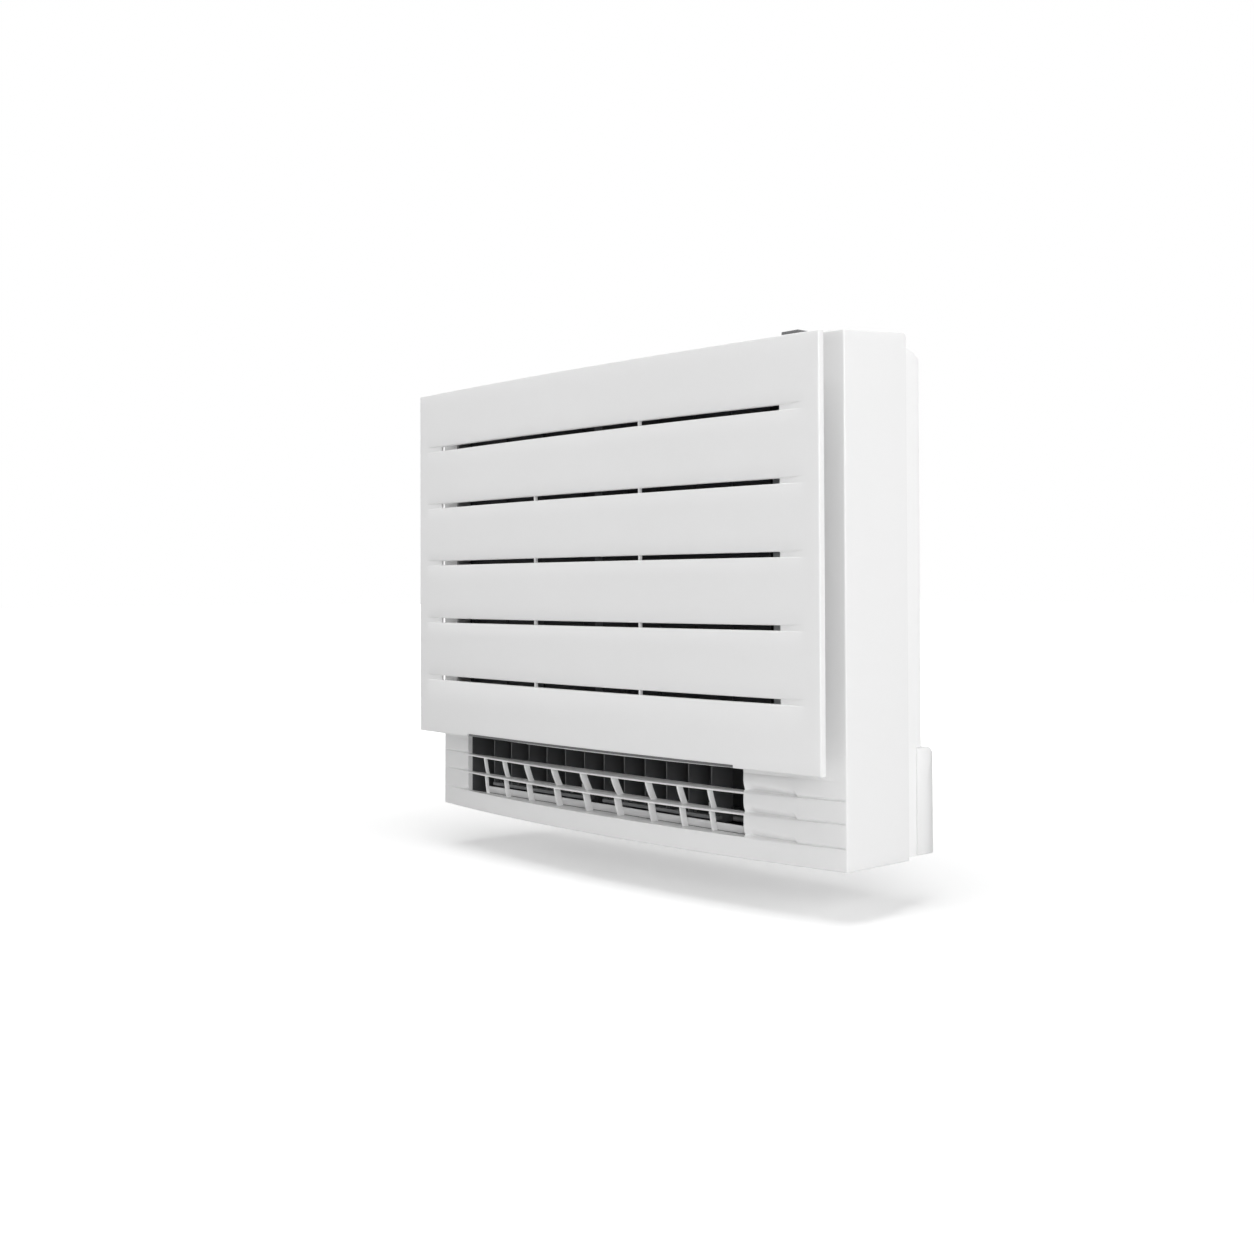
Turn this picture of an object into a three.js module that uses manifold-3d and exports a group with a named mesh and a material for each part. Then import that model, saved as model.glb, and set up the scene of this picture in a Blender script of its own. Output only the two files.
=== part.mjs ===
// Slim floor-standing console air conditioner, in millimetres.
// +X is to the right of someone facing the unit, +Y runs into the wall, +Z is up.
// The origin is under the middle of the unit: the wall plane is at +DEPTH/2, the front at -DEPTH/2.
import * as THREE from "three";
import * as BufferGeometryUtils from "three/addons/utils/BufferGeometryUtils.js";
import Module from "manifold-3d";

const wasm = await Module();
wasm.setup();

// ---- driving dimensions ----
const WIDTH = 750;
const HEIGHT = 600;
const DEPTH = 238;
const HALF = WIDTH / 2;
const FRONT = -DEPTH / 2;
const BACK = DEPTH / 2;
const GAP = 0.3; // between pieces that seat on each other
const SWING = 1; // round a piece that moves
const BOW_STEPS = 16; // flats along a bowed front

const WALL = 3; // wall of the front grille
const BODY_EDGE_BACK = 56.4; // the grille's side edges lie this far behind the panel's middle
const BODY_BULGE = 30.2; // the grille's front bows out this far in the middle
const SIDE_DEPTH = DEPTH - 129; // depth of the grille's side faces
const TOP_RISE = 8; // the top climbs this far towards the back

const PANEL_BULGE = 13.8;
const PANEL_THICK = 8;
const PANEL_SKIN = 2.5;
const PANEL_BOTTOM = 107.5;
const PANEL_TOP = HEIGHT - 14; // the body stands this far above the panel
const PANEL_RIM = 3;
const PANEL_NOTCH_HALF = HALF - 123;
const PANEL_NOTCH = 3.5;
const SLOT_COUNT = 5;
const SLOT_FIRST = 184.6; // height of the lowest slot
const SLOT_LAST_DROP = 93.4; // the highest slot is this far below the top
const SLOT_PITCH = (HEIGHT - SLOT_LAST_DROP - SLOT_FIRST) / (SLOT_COUNT - 1);
const SLOT_HEIGHT = 5;
const SLOT_HALF = HALF - 55.5;
const TIE_X = WIDTH / 7.5; // upright ribs behind the slots
const TIE_WIDTH = 2.5;
const PANEL_HINGE_X = WIDTH / 3;
const PANEL_HINGE_Y_FORWARD = 12.6; // the hinge line lies this far ahead of the grille there
const PANEL_HINGE_Z = 120;
const HINGE_ARM = 8;
const HINGE_PIN_R = 2.5;
const HINGE_EAR = 4; // thickness of the ear on each side of an arm
const HINGE_EAR_GAP = 2;
const PEG_RIM = 1.5; // least plastic round a pin
const HINGE_REACH = 6; // ears and arms stand this far above and below the pin
const CATCH_THICK = 3;
const CATCH_BEYOND = 3; // the catch stands this far beyond the released latch
const CATCH_ROOM = 3; // room round the latch in the catch's window
const CATCH_FRAME = 3; // rim of the catch above and below its window

const INTAKE_HALF = HALF - 40;
const INTAKE_BOTTOM = 138;
const INTAKE_TOP = HEIGHT - 52;
const MULLION = 12;

const OUTLET_LEFT = -HALF + 72;
const OUTLET_RIGHT = HALF - 137;
const OUTLET_HALF = (OUTLET_RIGHT - OUTLET_LEFT) / 2;
const OUTLET_BOTTOM = 25;
const OUTLET_TOP = 103;
const LIP_THICK = 3;
const BAR_THICK = 2.5;
const BAR_HEIGHTS = [50.9, 75.4];
const GUARD_DEPTH = 27; // bars are this deep in the middle, their back edge is straight
const RIB_MIDDLE = OUTLET_RIGHT - OUTLET_HALF - 6;
const RIB_SHARES = [0, 0.222, 0.447, 0.643, 0.821]; // of the outlet's half width
const RIB_WIDTH = 2.2;
const RIB_DEPTH = 9;
const CREASE_HEIGHTS = [25, 51.5, 77.5, 101.5];
const CREASE_HEIGHT = 2.2;
const CREASE_DEPTH = 6;
const CREASE_KINK = 1.2; // depth where the deep part ends
const CREASE_FADE = 0.3; // depth at its far end
const CREASE_RUN = 78; // deep part of each crease
const CREASE_END = 6; // a crease stops this far before the corner

const VANE_COUNT = 12;
const VANE_MIDDLE = OUTLET_RIGHT - OUTLET_HALF - 11.5;
const VANE_PITCH = OUTLET_HALF / 7;
const VANE_THICK = 1.6;
const VANE_LENGTH = 35;
const VANE_FRONT_GAP = 4;
const VANE_PIVOT_BACK = 22; // pivot behind a vane's front edge
const VANE_PIN_R = 1.5;
const VANE_BOTTOM = 30;
const VANE_TOP = 98;
const LINK_ARM = 15; // link pin ahead of the pivot
const LINK_PIN_R = 0.9;
const LINK_WIDTH = 9;
const LINK_THICK = 4;
const LINK_NOTCH_BOTTOM = 34;
const LINK_NOTCH = 7;
const TAB_VANES = [5, 11];
const TAB_TOP = 56;
const TAB_HALF = 3;
const TAB_REACH = 2;

const DUCT_WALL = 2.5;
const CASE_BACK_Y = BACK - 33;
const DUCT_FLAT_END = CASE_BACK_Y - 28;
const SHUTTER_BEHIND = 46.6; // the shutter's pivot lies this far behind the grille's side edges
const SHUTTER_Z = 31;
const SHUTTER_THICK = 2.5;
const SHUTTER_CLEAR = 4; // the lying shutter ends this far before the duct turns up
const SHUTTER_PIN_R = 2;
const STEPPER_R = 12;
const STEPPER_LENGTH = 18;

const FAN_X = OUTLET_RIGHT - OUTLET_HALF;
const FAN_Z = HEIGHT * 0.575;
const FAN_R = 160;
const FAN_INLET_R = 105;
const FAN_FRONT = 8;
const FAN_DEPTH = CASE_BACK_Y - 42;
const FAN_BLADES = 9;
const BLADE_LENGTH = 62;
const BLADE_THICK = 3;
const BLADE_SWEEP = 0.62; // turn of a blade from the radius, in radians
const HUB_R = 14;
const SHAFT_R = 4;
const MOTOR_R = 48;
const MOTOR_DEPTH = 28;
const MOTOR_STEP = 12;

const PLATE_THICK = 3; // bell-mouth plate
const PLATE_BOTTOM = 130;
const PLATE_TOP = HEIGHT - 44;
const COIL_DEPTH = 34;
const COIL_RIGHT = OUTLET_RIGHT + 14;
const COIL_LEFT = OUTLET_LEFT - 23;
const COIL_BOTTOM = 152;
const COIL_TOP = HEIGHT - 60;
const COIL_TUBE_R = 3.5;
const COIL_ROWS = 8;
const COIL_ROW_RISE = (COIL_TOP - COIL_BOTTOM) / COIL_ROWS;
const COIL_END = 12; // bare tube beyond the fins
const COIL_GROOVES = 19;
const FILTER_THICK = 3;
const DEODORISER_THICK = 7;
const DEODORISER_HALF = 70;
const DEODORISER_TALL = 60;

const REAR_HALF = HALF - 15;
const REAR_BACK = BACK - 27;
const REAR_TOP = HEIGHT - 14;
const REAR_WALL = 2.5;
const RIM_DEPTH = 3; // the rear casing's rim fits inside the grille's back edge
const SPINE_HALF = HALF - 75;
const SPINE_BOTTOM = 40;
const SPINE_TOP = HEIGHT - 50;
const MOUNT_PLATE = 1.6;
const MOUNT_EMBOSS = 2.4;
const MOUNT_PAD_R = 14;
const MOUNT_PAD_INSET = 80;
const MOUNT_HOLE_R = 5;
const BLOCK_HALF = REAR_HALF + 2;
const BLOCK_WIDTH = 40;
const BLOCK_FRONT = REAR_BACK - 12;
const BLOCK_BACK = BACK - 10.5;
const BLOCK_TOP = 124;
const BLOCK_BEVEL = 4;

const FLAP_AHEAD = 3.4; // the flap's front edge lies this far ahead of the grille's side edges
const FLAP_BEHIND = 38.4; // and its pivot this far behind them
const FLAP_SIDE = 1;
const FLAP_KNUCKLE_R = 3.5;
const FLAP_PIN_R = 1.7;
const FLAP_BOSS = 6;

const BUTTON_R = 4;
const BUTTON_TRAVEL = 1.5;
const BUTTON_BACK = 9; // the button's middle lies this far behind the display's front
const BUTTON_WELL = 4;
const BUTTON_PROUD = 1.8;
const DISPLAY_LEFT = HALF - 61;
const DISPLAY_RIGHT = HALF - 37;
const DISPLAY_FRONT = FRONT + 23;
const DISPLAY_TOP = HEIGHT - 8;
const DISPLAY_BOTTOM = HEIGHT - 23;

const STOPPER_TRAVEL = 8;
const STOPPER_X = HALF - 57; // outer end of the released latch
const STOPPER_LENGTH = 24;
const STOPPER_Z = PANEL_TOP - 20;
const STOPPER_HEIGHT = 8;
const STOPPER_THICK = 5;
const RAIL = 3;

const SCREW_R = 2;
const SCREW_HEAD_R = 4;
const SCREW_HEAD = 2.5;
const SCREW_LENGTH = 9;
const SCREW_X = HALF - 34;
const SCREW_SPOTS = [
  ["upper_left", -SCREW_X, HEIGHT - 80],
  ["upper_right", SCREW_X, HEIGHT - 80],
  ["lower_left", -SCREW_X, COIL_BOTTOM + 8],
  ["lower_right", SCREW_X, COIL_BOTTOM + 8],
];

const CASE_LEFT = COIL_RIGHT + 10;
const CASE_RIGHT = HALF - 23;
const CASE_BOTTOM = COIL_BOTTOM;
const CASE_TOP = HEIGHT - 100;
const CASE_WALL = 2;
const CASE_BEHIND = 10.6; // the box's front lies this far behind the grille's side edges

const PIPE_X = -HALF + 29;
const PIPE_DROP = 40; // a pipe turns aside over this height
const PIPE_LOW = PLATE_BOTTOM - 12;
const NUT_HEIGHT = 22;
const LIQUID_PIPE = { offset: -8, row: 0.5, radius: 3.2, nut: 9 };
const GAS_PIPE = { offset: 14, row: 2.5, radius: 4.8, nut: 11 };

// ---- places worked out from them ----
const BODY_EDGE_Y = FRONT + BODY_EDGE_BACK;
const SIDE_BACK_Y = BODY_EDGE_Y + SIDE_DEPTH;
const PANEL_EDGE_Y = FRONT + PANEL_BULGE;
const GUARD_BACK_Y = BODY_EDGE_Y - BODY_BULGE + GUARD_DEPTH;
const VANE_FRONT_Y = GUARD_BACK_Y + VANE_FRONT_GAP;
const VANE_PIVOT_Y = VANE_FRONT_Y + VANE_PIVOT_BACK;
const LINK_PIN_Y = VANE_PIVOT_Y - LINK_ARM;
const PANEL_HINGE_Y = bodyFrontY(PANEL_HINGE_X) - PANEL_HINGE_Y_FORWARD;
const PLATE_FRONT_Y = -PLATE_THICK;
const COIL_FRONT_Y = PLATE_FRONT_Y - GAP - COIL_DEPTH;
const DEODORISER_FRONT_Y = COIL_FRONT_Y - GAP - DEODORISER_THICK;
const FILTER_FRONT_Y = DEODORISER_FRONT_Y - GAP - FILTER_THICK;
const CASE_FRONT_Y = BODY_EDGE_Y + CASE_BEHIND;
const STOPPER_Y = bodyFrontY(STOPPER_X + STOPPER_TRAVEL) - STOPPER_THICK;
const SHUTTER_PIVOT_Y = BODY_EDGE_Y + SHUTTER_BEHIND;
const SHUTTER_LENGTH = DUCT_FLAT_END - SHUTTER_PIVOT_Y - SHUTTER_CLEAR;
const FLAP_FRONT_Y = BODY_EDGE_Y - FLAP_AHEAD;
const FLAP_PIVOT_Y = BODY_EDGE_Y + FLAP_BEHIND;
const MOTOR_BACK_Y = CASE_BACK_Y - DUCT_WALL - GAP;
const MOTOR_FRONT_Y = MOTOR_BACK_Y - MOTOR_DEPTH;
const FLAP_PIVOT_Z = topZ(FLAP_PIVOT_Y) - FLAP_KNUCKLE_R;

function bodyFrontY(x) {
  return BODY_EDGE_Y - BODY_BULGE * (1 - (x / HALF) ** 2);
}

function panelFrontY(x) {
  return PANEL_EDGE_Y - PANEL_BULGE * (1 - (x / HALF) ** 2);
}

function topZ(y) {
  return HEIGHT + (TOP_RISE * (y - SIDE_BACK_Y)) / SIDE_DEPTH;
}

// ---- materials ----
function finish(color, roughness, metalness) {
  return new THREE.MeshStandardMaterial({ color, roughness, metalness });
}
const white = finish(0xf1f1ef, 0.45, 0);
const inner = finish(0xd9dadb, 0.6, 0);
const dark = finish(0x2f3133, 0.6, 0);
const grey = finish(0x6c6f72, 0.5, 0);
const net = finish(0x4a4d50, 0.8, 0);
const steel = finish(0xb9bcbf, 0.4, 0.9);
const alloy = finish(0xc4c8cb, 0.35, 0.9);
const copper = finish(0xb87048, 0.3, 1);
const brass = finish(0xc2a15a, 0.3, 1);
const board = finish(0x2f6b45, 0.6, 0);

// ---- solids ----
function solid(geometry) {
  geometry.deleteAttribute("normal");
  geometry.deleteAttribute("uv");
  const merged = BufferGeometryUtils.mergeVertices(geometry, 1e-4);
  const mesh = new wasm.Mesh({
    numProp: 3,
    vertProperties: new Float32Array(merged.attributes.position.array),
    triVerts: new Uint32Array(merged.index.array),
  });
  return new wasm.Manifold(mesh);
}

function box(x0, x1, y0, y1, z0, z1) {
  const geometry = new THREE.BoxGeometry(x1 - x0, y1 - y0, z1 - z0);
  geometry.translate((x0 + x1) / 2, (y0 + y1) / 2, (z0 + z1) / 2);
  return solid(geometry);
}

function extrusion(points, length) {
  const shape = new THREE.Shape(points.map(([a, b]) => new THREE.Vector2(a, b)));
  return new THREE.ExtrudeGeometry(shape, { depth: length, bevelEnabled: false });
}

// An outline of (x, y) points seen from above, raised from z0 to z1.
function planPrism(points, z0, z1) {
  return solid(extrusion(points, z1 - z0).translate(0, 0, z0));
}

// An outline of (y, z) points seen from the side, running from x0 to x1.
function sidePrism(points, x0, x1) {
  const turn = new THREE.Matrix4().makeBasis(
    new THREE.Vector3(0, 1, 0),
    new THREE.Vector3(0, 0, 1),
    new THREE.Vector3(1, 0, 0),
  );
  return solid(extrusion(points, x1 - x0).applyMatrix4(turn).translate(x0, 0, 0));
}

function cylinderZ(radius, x, y, z0, z1, sides = 12) {
  const geometry = new THREE.CylinderGeometry(radius, radius, z1 - z0, sides);
  return solid(geometry.rotateX(Math.PI / 2).translate(x, y, (z0 + z1) / 2));
}

function cylinderY(radius, x, z, y0, y1, sides = 24) {
  const geometry = new THREE.CylinderGeometry(radius, radius, y1 - y0, sides);
  return solid(geometry.translate(x, (y0 + y1) / 2, z));
}

function cylinderX(radius, y, z, x0, x1, sides = 12) {
  const geometry = new THREE.CylinderGeometry(radius, radius, x1 - x0, sides);
  return solid(geometry.rotateZ(Math.PI / 2).translate((x0 + x1) / 2, y, z));
}

// A ring about the Y axis through (x, z): the profile holds (radius, y) points and closes on itself.
function ringY(profile, x, z, sides = 24) {
  const closed = [...profile, profile[0]].map(([r, y]) => new THREE.Vector2(r, y));
  return solid(new THREE.LatheGeometry(closed, sides).translate(x, 0, z));
}

function pipe(points, radius, sides = 8) {
  const path = new THREE.CurvePath();
  const corners = points.map((p) => new THREE.Vector3(...p));
  for (let i = 1; i < corners.length; i += 1) {
    path.add(new THREE.LineCurve3(corners[i - 1], corners[i]));
  }
  const smooth = new THREE.CatmullRomCurve3(path.getSpacedPoints(points.length * 4), false, "centripetal");
  const section = new THREE.Shape();
  section.absarc(0, 0, radius, 0, 2 * Math.PI);
  return solid(
    new THREE.ExtrudeGeometry(section, {
      steps: points.length * 4,
      extrudePath: smooth,
      curveSegments: sides / 2,
      bevelEnabled: false,
    }),
  );
}

function join(pieces) {
  return pieces.reduce((whole, piece) => whole.add(piece));
}

function cut(body, pieces) {
  return pieces.reduce((rest, piece) => rest.subtract(piece), body);
}

// Points along a bowed front, moved back by an offset.
function bow(front, x0, x1, offset, count = BOW_STEPS) {
  const points = [];
  for (let i = 0; i <= count; i += 1) {
    const x = x0 + ((x1 - x0) * i) / count;
    points.push([x, front(x) + offset]);
  }
  return points;
}

// A slab between a bowed front and a straight or bowed back.
function bowedSlab(front, x0, x1, offset, backY, z0, z1, count = BOW_STEPS) {
  return planPrism([...bow(front, x0, x1, offset, count), [x1, backY], [x0, backY]], z0, z1);
}

function bowedSheet(front, x0, x1, near, far, z0, z1, count = BOW_STEPS) {
  const back = bow(front, x0, x1, far, count).reverse();
  return planPrism([...bow(front, x0, x1, near, count), ...back], z0, z1);
}

const unit = new THREE.Group();

function addMesh(name, material, body, group = unit) {
  const mesh = body.getMesh();
  const geometry = new THREE.BufferGeometry();
  geometry.setAttribute("position", new THREE.BufferAttribute(new Float32Array(mesh.vertProperties), 3));
  geometry.setIndex(new THREE.BufferAttribute(new Uint32Array(mesh.triVerts), 1));
  geometry.computeVertexNormals();
  const node = new THREE.Mesh(geometry, material);
  node.name = name;
  group.add(node);
  return node;
}

// ---- front grille: the moulded shell with the front, sides, top and bottom ----
function slopedSide(drop, y0, y1, floor) {
  return [
    [y0, floor],
    [y1, floor],
    [y1, topZ(y1) - drop],
    [y0, topZ(y0) - drop],
  ];
}

function grilleShell() {
  const outer = bowedSlab(bodyFrontY, -HALF, HALF, 0, SIDE_BACK_Y, 0, HEIGHT + WALL);
  const slope = sidePrism(slopedSide(0, FRONT, SIDE_BACK_Y, -WALL), -WIDTH, WIDTH);
  const room = bowedSlab(bodyFrontY, -HALF + WALL, HALF - WALL, WALL, BACK, WALL, HEIGHT + WALL);
  const roof = sidePrism(slopedSide(WALL, FRONT, BACK + WALL, 0), -WIDTH, WIDTH);
  return outer.intersect(slope).subtract(room.intersect(roof));
}

function intakeWindows() {
  const left = box(-INTAKE_HALF, -MULLION / 2, FRONT, 0, INTAKE_BOTTOM, INTAKE_TOP);
  const right = box(MULLION / 2, INTAKE_HALF, FRONT, 0, INTAKE_BOTTOM, INTAKE_TOP);
  return [left, right];
}

function outletMouth() {
  return box(OUTLET_LEFT, OUTLET_RIGHT, FRONT, 0, OUTLET_BOTTOM, OUTLET_TOP);
}

function topMouth() {
  const back = FLAP_PIVOT_Y + FLAP_KNUCKLE_R + SWING * 0.7;
  return box(OUTLET_LEFT, OUTLET_RIGHT, FLAP_FRONT_Y - SWING, back, HEIGHT - 30, HEIGHT + WALL);
}

// One crease beside the outlet: deep at the mouth, shallow past the kink, fading before the corner.
function crease(z, from, side) {
  const kink = from + side * CREASE_RUN;
  const end = side * (HALF - CREASE_END);
  const kinkX = side > 0 ? Math.min(kink, end) : Math.max(kink, end);
  const points = [
    [from, bodyFrontY(from) - 1],
    [from, bodyFrontY(from) + CREASE_DEPTH],
    [kinkX, bodyFrontY(kinkX) + CREASE_KINK],
    [end, bodyFrontY(end) + CREASE_FADE],
    [end, bodyFrontY(end) - 1],
    [kinkX, bodyFrontY(kinkX) - 1],
  ];
  const outline = side > 0 ? points.reverse() : points;
  return planPrism(outline, z, z + CREASE_HEIGHT);
}

// A crease reaches past the wall, so a pad behind the wall keeps the shell closed there.
function creasePad(from, to) {
  const z1 = CREASE_HEIGHTS[CREASE_HEIGHTS.length - 1] + CREASE_HEIGHT + WALL;
  const reach = WALL + CREASE_DEPTH;
  const x0 = Math.min(from, to);
  const x1 = Math.max(from, to);
  const pad = bowedSheet(bodyFrontY, x0, x1, WALL - 1, reach, WALL - 1, z1, 4);
  const cheek = DUCT_WALL + 2 * GAP;
  return pad.subtract(box(OUTLET_LEFT - cheek, OUTLET_RIGHT + cheek, GUARD_BACK_Y, BACK, 0, HEIGHT));
}

function hingeEars(side) {
  const x = side * PANEL_HINGE_X;
  const near = HINGE_ARM / 2 + HINGE_EAR_GAP;
  const y0 = PANEL_HINGE_Y - HINGE_PIN_R - PEG_RIM;
  const y1 = bodyFrontY(x) + WALL;
  const z0 = PANEL_HINGE_Z - HINGE_REACH;
  const z1 = PANEL_HINGE_Z + HINGE_REACH;
  const left = box(x - near - HINGE_EAR, x - near, y0, y1, z0, z1);
  const right = box(x + near, x + near + HINGE_EAR, y0, y1, z0, z1);
  const pin = cylinderX(HINGE_PIN_R, PANEL_HINGE_Y, PANEL_HINGE_Z, x - near - 1, x + near + 1);
  return join([left, right, pin]);
}

// Two rails hold each sliding latch above and below.
function stopperRails(side) {
  const inside = STOPPER_X - STOPPER_LENGTH + 2;
  const x0 = Math.min(side * inside, side * STOPPER_X);
  const x1 = Math.max(side * inside, side * STOPPER_X);
  const back = bodyFrontY(STOPPER_X) + WALL;
  const front = STOPPER_Y - STOPPER_THICK - RAIL;
  const above = STOPPER_Z + STOPPER_HEIGHT / 2 + GAP;
  const below = STOPPER_Z - STOPPER_HEIGHT / 2 - GAP;
  const base = box(x0, x1, STOPPER_Y + GAP, back, below - RAIL, above + RAIL);
  const upper = box(x0, x1, front, back, above, above + RAIL);
  const lower = box(x0, x1, front, back, below - RAIL, below);
  return join([base, upper, lower]);
}

function flapBosses() {
  const z1 = topZ(FLAP_PIVOT_Y) - WALL / 2;
  const z0 = FLAP_PIVOT_Z - FLAP_KNUCKLE_R - 1;
  const y0 = FLAP_PIVOT_Y - FLAP_KNUCKLE_R;
  const y1 = FLAP_PIVOT_Y + FLAP_KNUCKLE_R;
  return [
    box(OUTLET_LEFT - FLAP_BOSS, OUTLET_LEFT, y0, y1, z0, z1),
    box(OUTLET_RIGHT, OUTLET_RIGHT + FLAP_BOSS, y0, y1, z0, z1),
  ];
}

function frontGrille() {
  const lip = bowedSlab(
    bodyFrontY,
    OUTLET_LEFT - WALL,
    OUTLET_RIGHT + WALL,
    WALL / 2,
    GUARD_BACK_Y,
    OUTLET_BOTTOM - LIP_THICK,
    OUTLET_BOTTOM,
  );
  const rightPad = creasePad(OUTLET_RIGHT, HALF - 2 * WALL);
  const leftPad = creasePad(-HALF + 2 * WALL, OUTLET_LEFT);
  const holes = intakeWindows();
  holes.push(outletMouth(), topMouth());
  for (const z of CREASE_HEIGHTS) {
    holes.push(crease(z, OUTLET_RIGHT, 1), crease(z, OUTLET_LEFT, -1));
  }
  const flapHole = cylinderX(
    FLAP_PIN_R + GAP,
    FLAP_PIVOT_Y,
    FLAP_PIVOT_Z,
    OUTLET_LEFT - FLAP_BOSS - 1,
    OUTLET_RIGHT + FLAP_BOSS + 1,
  );
  holes.push(flapHole);
  for (const [, x, z] of SCREW_SPOTS) {
    holes.push(cylinderY(SCREW_R + GAP, x, z, FRONT, BODY_EDGE_Y + 4 * WALL, 10));
  }
  const shell = cut(join([grilleShell(), rightPad, leftPad, ...flapBosses()]), holes);
  return join([shell, lip, hingeEars(-1), hingeEars(1), stopperRails(-1), stopperRails(1)]);
}

// ---- front panel: a bowed tray with five slots, two ties, two hinge arms and two latch catches ----
function panelSlots() {
  const slots = [];
  const back = PANEL_EDGE_Y + PANEL_SKIN + 1;
  for (let i = 0; i < SLOT_COUNT; i += 1) {
    const z0 = SLOT_FIRST + i * SLOT_PITCH - SLOT_HEIGHT / 2;
    slots.push(box(-SLOT_HALF, SLOT_HALF, FRONT - 1, back, z0, z0 + SLOT_HEIGHT));
  }
  return slots;
}

function panelArm(side) {
  const x = side * PANEL_HINGE_X;
  const y0 = panelFrontY(x) + PANEL_SKIN - 0.5;
  const y1 = PANEL_HINGE_Y + HINGE_PIN_R + 2 * PEG_RIM;
  const z0 = PANEL_HINGE_Z - HINGE_REACH;
  const arm = box(x - HINGE_ARM / 2, x + HINGE_ARM / 2, y0, y1, z0, PANEL_HINGE_Z + HINGE_REACH);
  const hole = cylinderX(HINGE_PIN_R + GAP, PANEL_HINGE_Y, PANEL_HINGE_Z, x - HINGE_ARM, x + HINGE_ARM);
  return arm.subtract(hole);
}

// The catch is a plate with a window that the sliding latch enters.
function panelCatch(side) {
  const near = STOPPER_X + CATCH_BEYOND;
  const x0 = side > 0 ? near : -near - CATCH_THICK;
  const x1 = x0 + CATCH_THICK;
  const y0 = panelFrontY(near) + PANEL_SKIN - 0.5;
  const half = STOPPER_HEIGHT / 2 + CATCH_ROOM;
  const rim = half + CATCH_FRAME;
  const plate = box(x0, x1, y0, STOPPER_Y + CATCH_THICK, STOPPER_Z - rim, STOPPER_Z + rim);
  const ahead = STOPPER_Y - STOPPER_THICK - CATCH_ROOM;
  const window = box(x0 - 1, x1 + 1, ahead, STOPPER_Y + SWING, STOPPER_Z - half, STOPPER_Z + half);
  return plate.subtract(window);
}

function frontPanel() {
  const slab = bowedSheet(panelFrontY, -HALF, HALF, 0, PANEL_THICK, PANEL_BOTTOM, PANEL_TOP);
  const hollow = bowedSheet(
    panelFrontY,
    -HALF + PANEL_RIM,
    HALF - PANEL_RIM,
    PANEL_SKIN,
    PANEL_THICK + 1,
    PANEL_BOTTOM + PANEL_NOTCH + PANEL_RIM,
    PANEL_TOP - PANEL_RIM,
  );
  const notchTop = PANEL_BOTTOM + PANEL_NOTCH;
  const notch = box(-PANEL_NOTCH_HALF, PANEL_NOTCH_HALF, FRONT - 1, 0, PANEL_BOTTOM - 1, notchTop);
  const ties = [];
  for (const side of [-1, 1]) {
    const x = side * TIE_X;
    const lastSlot = SLOT_FIRST + (SLOT_COUNT - 1) * SLOT_PITCH;
    const tieTop = side > 0 ? PANEL_TOP - 1 : lastSlot - 2 * SLOT_HEIGHT;
    ties.push(
      bowedSheet(
        panelFrontY,
        x - TIE_WIDTH / 2,
        x + TIE_WIDTH / 2,
        PANEL_SKIN - 1,
        PANEL_THICK,
        notchTop + 1,
        tieTop,
        1,
      ),
    );
  }
  const tray = cut(slab.subtract(hollow), [notch, ...panelSlots()]);
  return join([tray, ...ties, panelArm(-1), panelArm(1), panelCatch(-1), panelCatch(1)]);
}

function stopper(side) {
  const inside = STOPPER_X - STOPPER_LENGTH;
  const x0 = Math.min(side * inside, side * STOPPER_X);
  const x1 = Math.max(side * inside, side * STOPPER_X);
  const half = STOPPER_HEIGHT / 2;
  const y0 = STOPPER_Y - STOPPER_THICK;
  const bar = box(x0, x1, y0, STOPPER_Y, STOPPER_Z - half, STOPPER_Z + half);
  const grip = side * (inside + STOPPER_THICK);
  const wide = STOPPER_THICK * 0.4;
  const tab = box(grip - wide, grip + wide, y0 - 2 * wide, y0 + 1, STOPPER_Z - half, STOPPER_Z + half);
  return bar.add(tab);
}

// ---- outlet guard: two bowed bars and nine slanted ribs ----
function guardRib(x) {
  const y = bodyFrontY(x);
  const [low, high] = BAR_HEIGHTS;
  const back = GUARD_BACK_Y;
  const upper = [
    [y + 1, high],
    [Math.min(y + 1 + RIB_DEPTH, back), high],
    [back, low],
    [Math.max(back - RIB_DEPTH, y + 3), low],
  ];
  const middle = (y + back) / 2;
  const reach = Math.min(RIB_DEPTH / 2, (back - y) / 2 - 1);
  const lower = [
    [middle - reach, OUTLET_BOTTOM + GAP],
    [middle - reach, low],
    [middle + reach, low],
    [middle + reach, OUTLET_BOTTOM + GAP],
  ];
  const x0 = x - RIB_WIDTH / 2;
  const x1 = x + RIB_WIDTH / 2;
  return [sidePrism([...upper].reverse(), x0, x1), sidePrism([...lower].reverse(), x0, x1)];
}

function outletGuard() {
  const pieces = [];
  for (const z of BAR_HEIGHTS) {
    const z0 = z - BAR_THICK / 2;
    const x0 = OUTLET_LEFT + GAP;
    pieces.push(bowedSlab(bodyFrontY, x0, OUTLET_RIGHT - GAP, 0, GUARD_BACK_Y, z0, z0 + BAR_THICK));
  }
  for (const share of RIB_SHARES) {
    const offset = share * OUTLET_HALF;
    pieces.push(...guardRib(RIB_MIDDLE + offset));
    if (offset > 0) {
      pieces.push(...guardRib(RIB_MIDDLE - offset));
    }
  }
  return join(pieces);
}

// ---- lower outlet: duct, vanes, link bars and shutter ----
function vaneX(index) {
  return VANE_MIDDLE + (index - (VANE_COUNT - 1) / 2) * VANE_PITCH;
}

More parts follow.
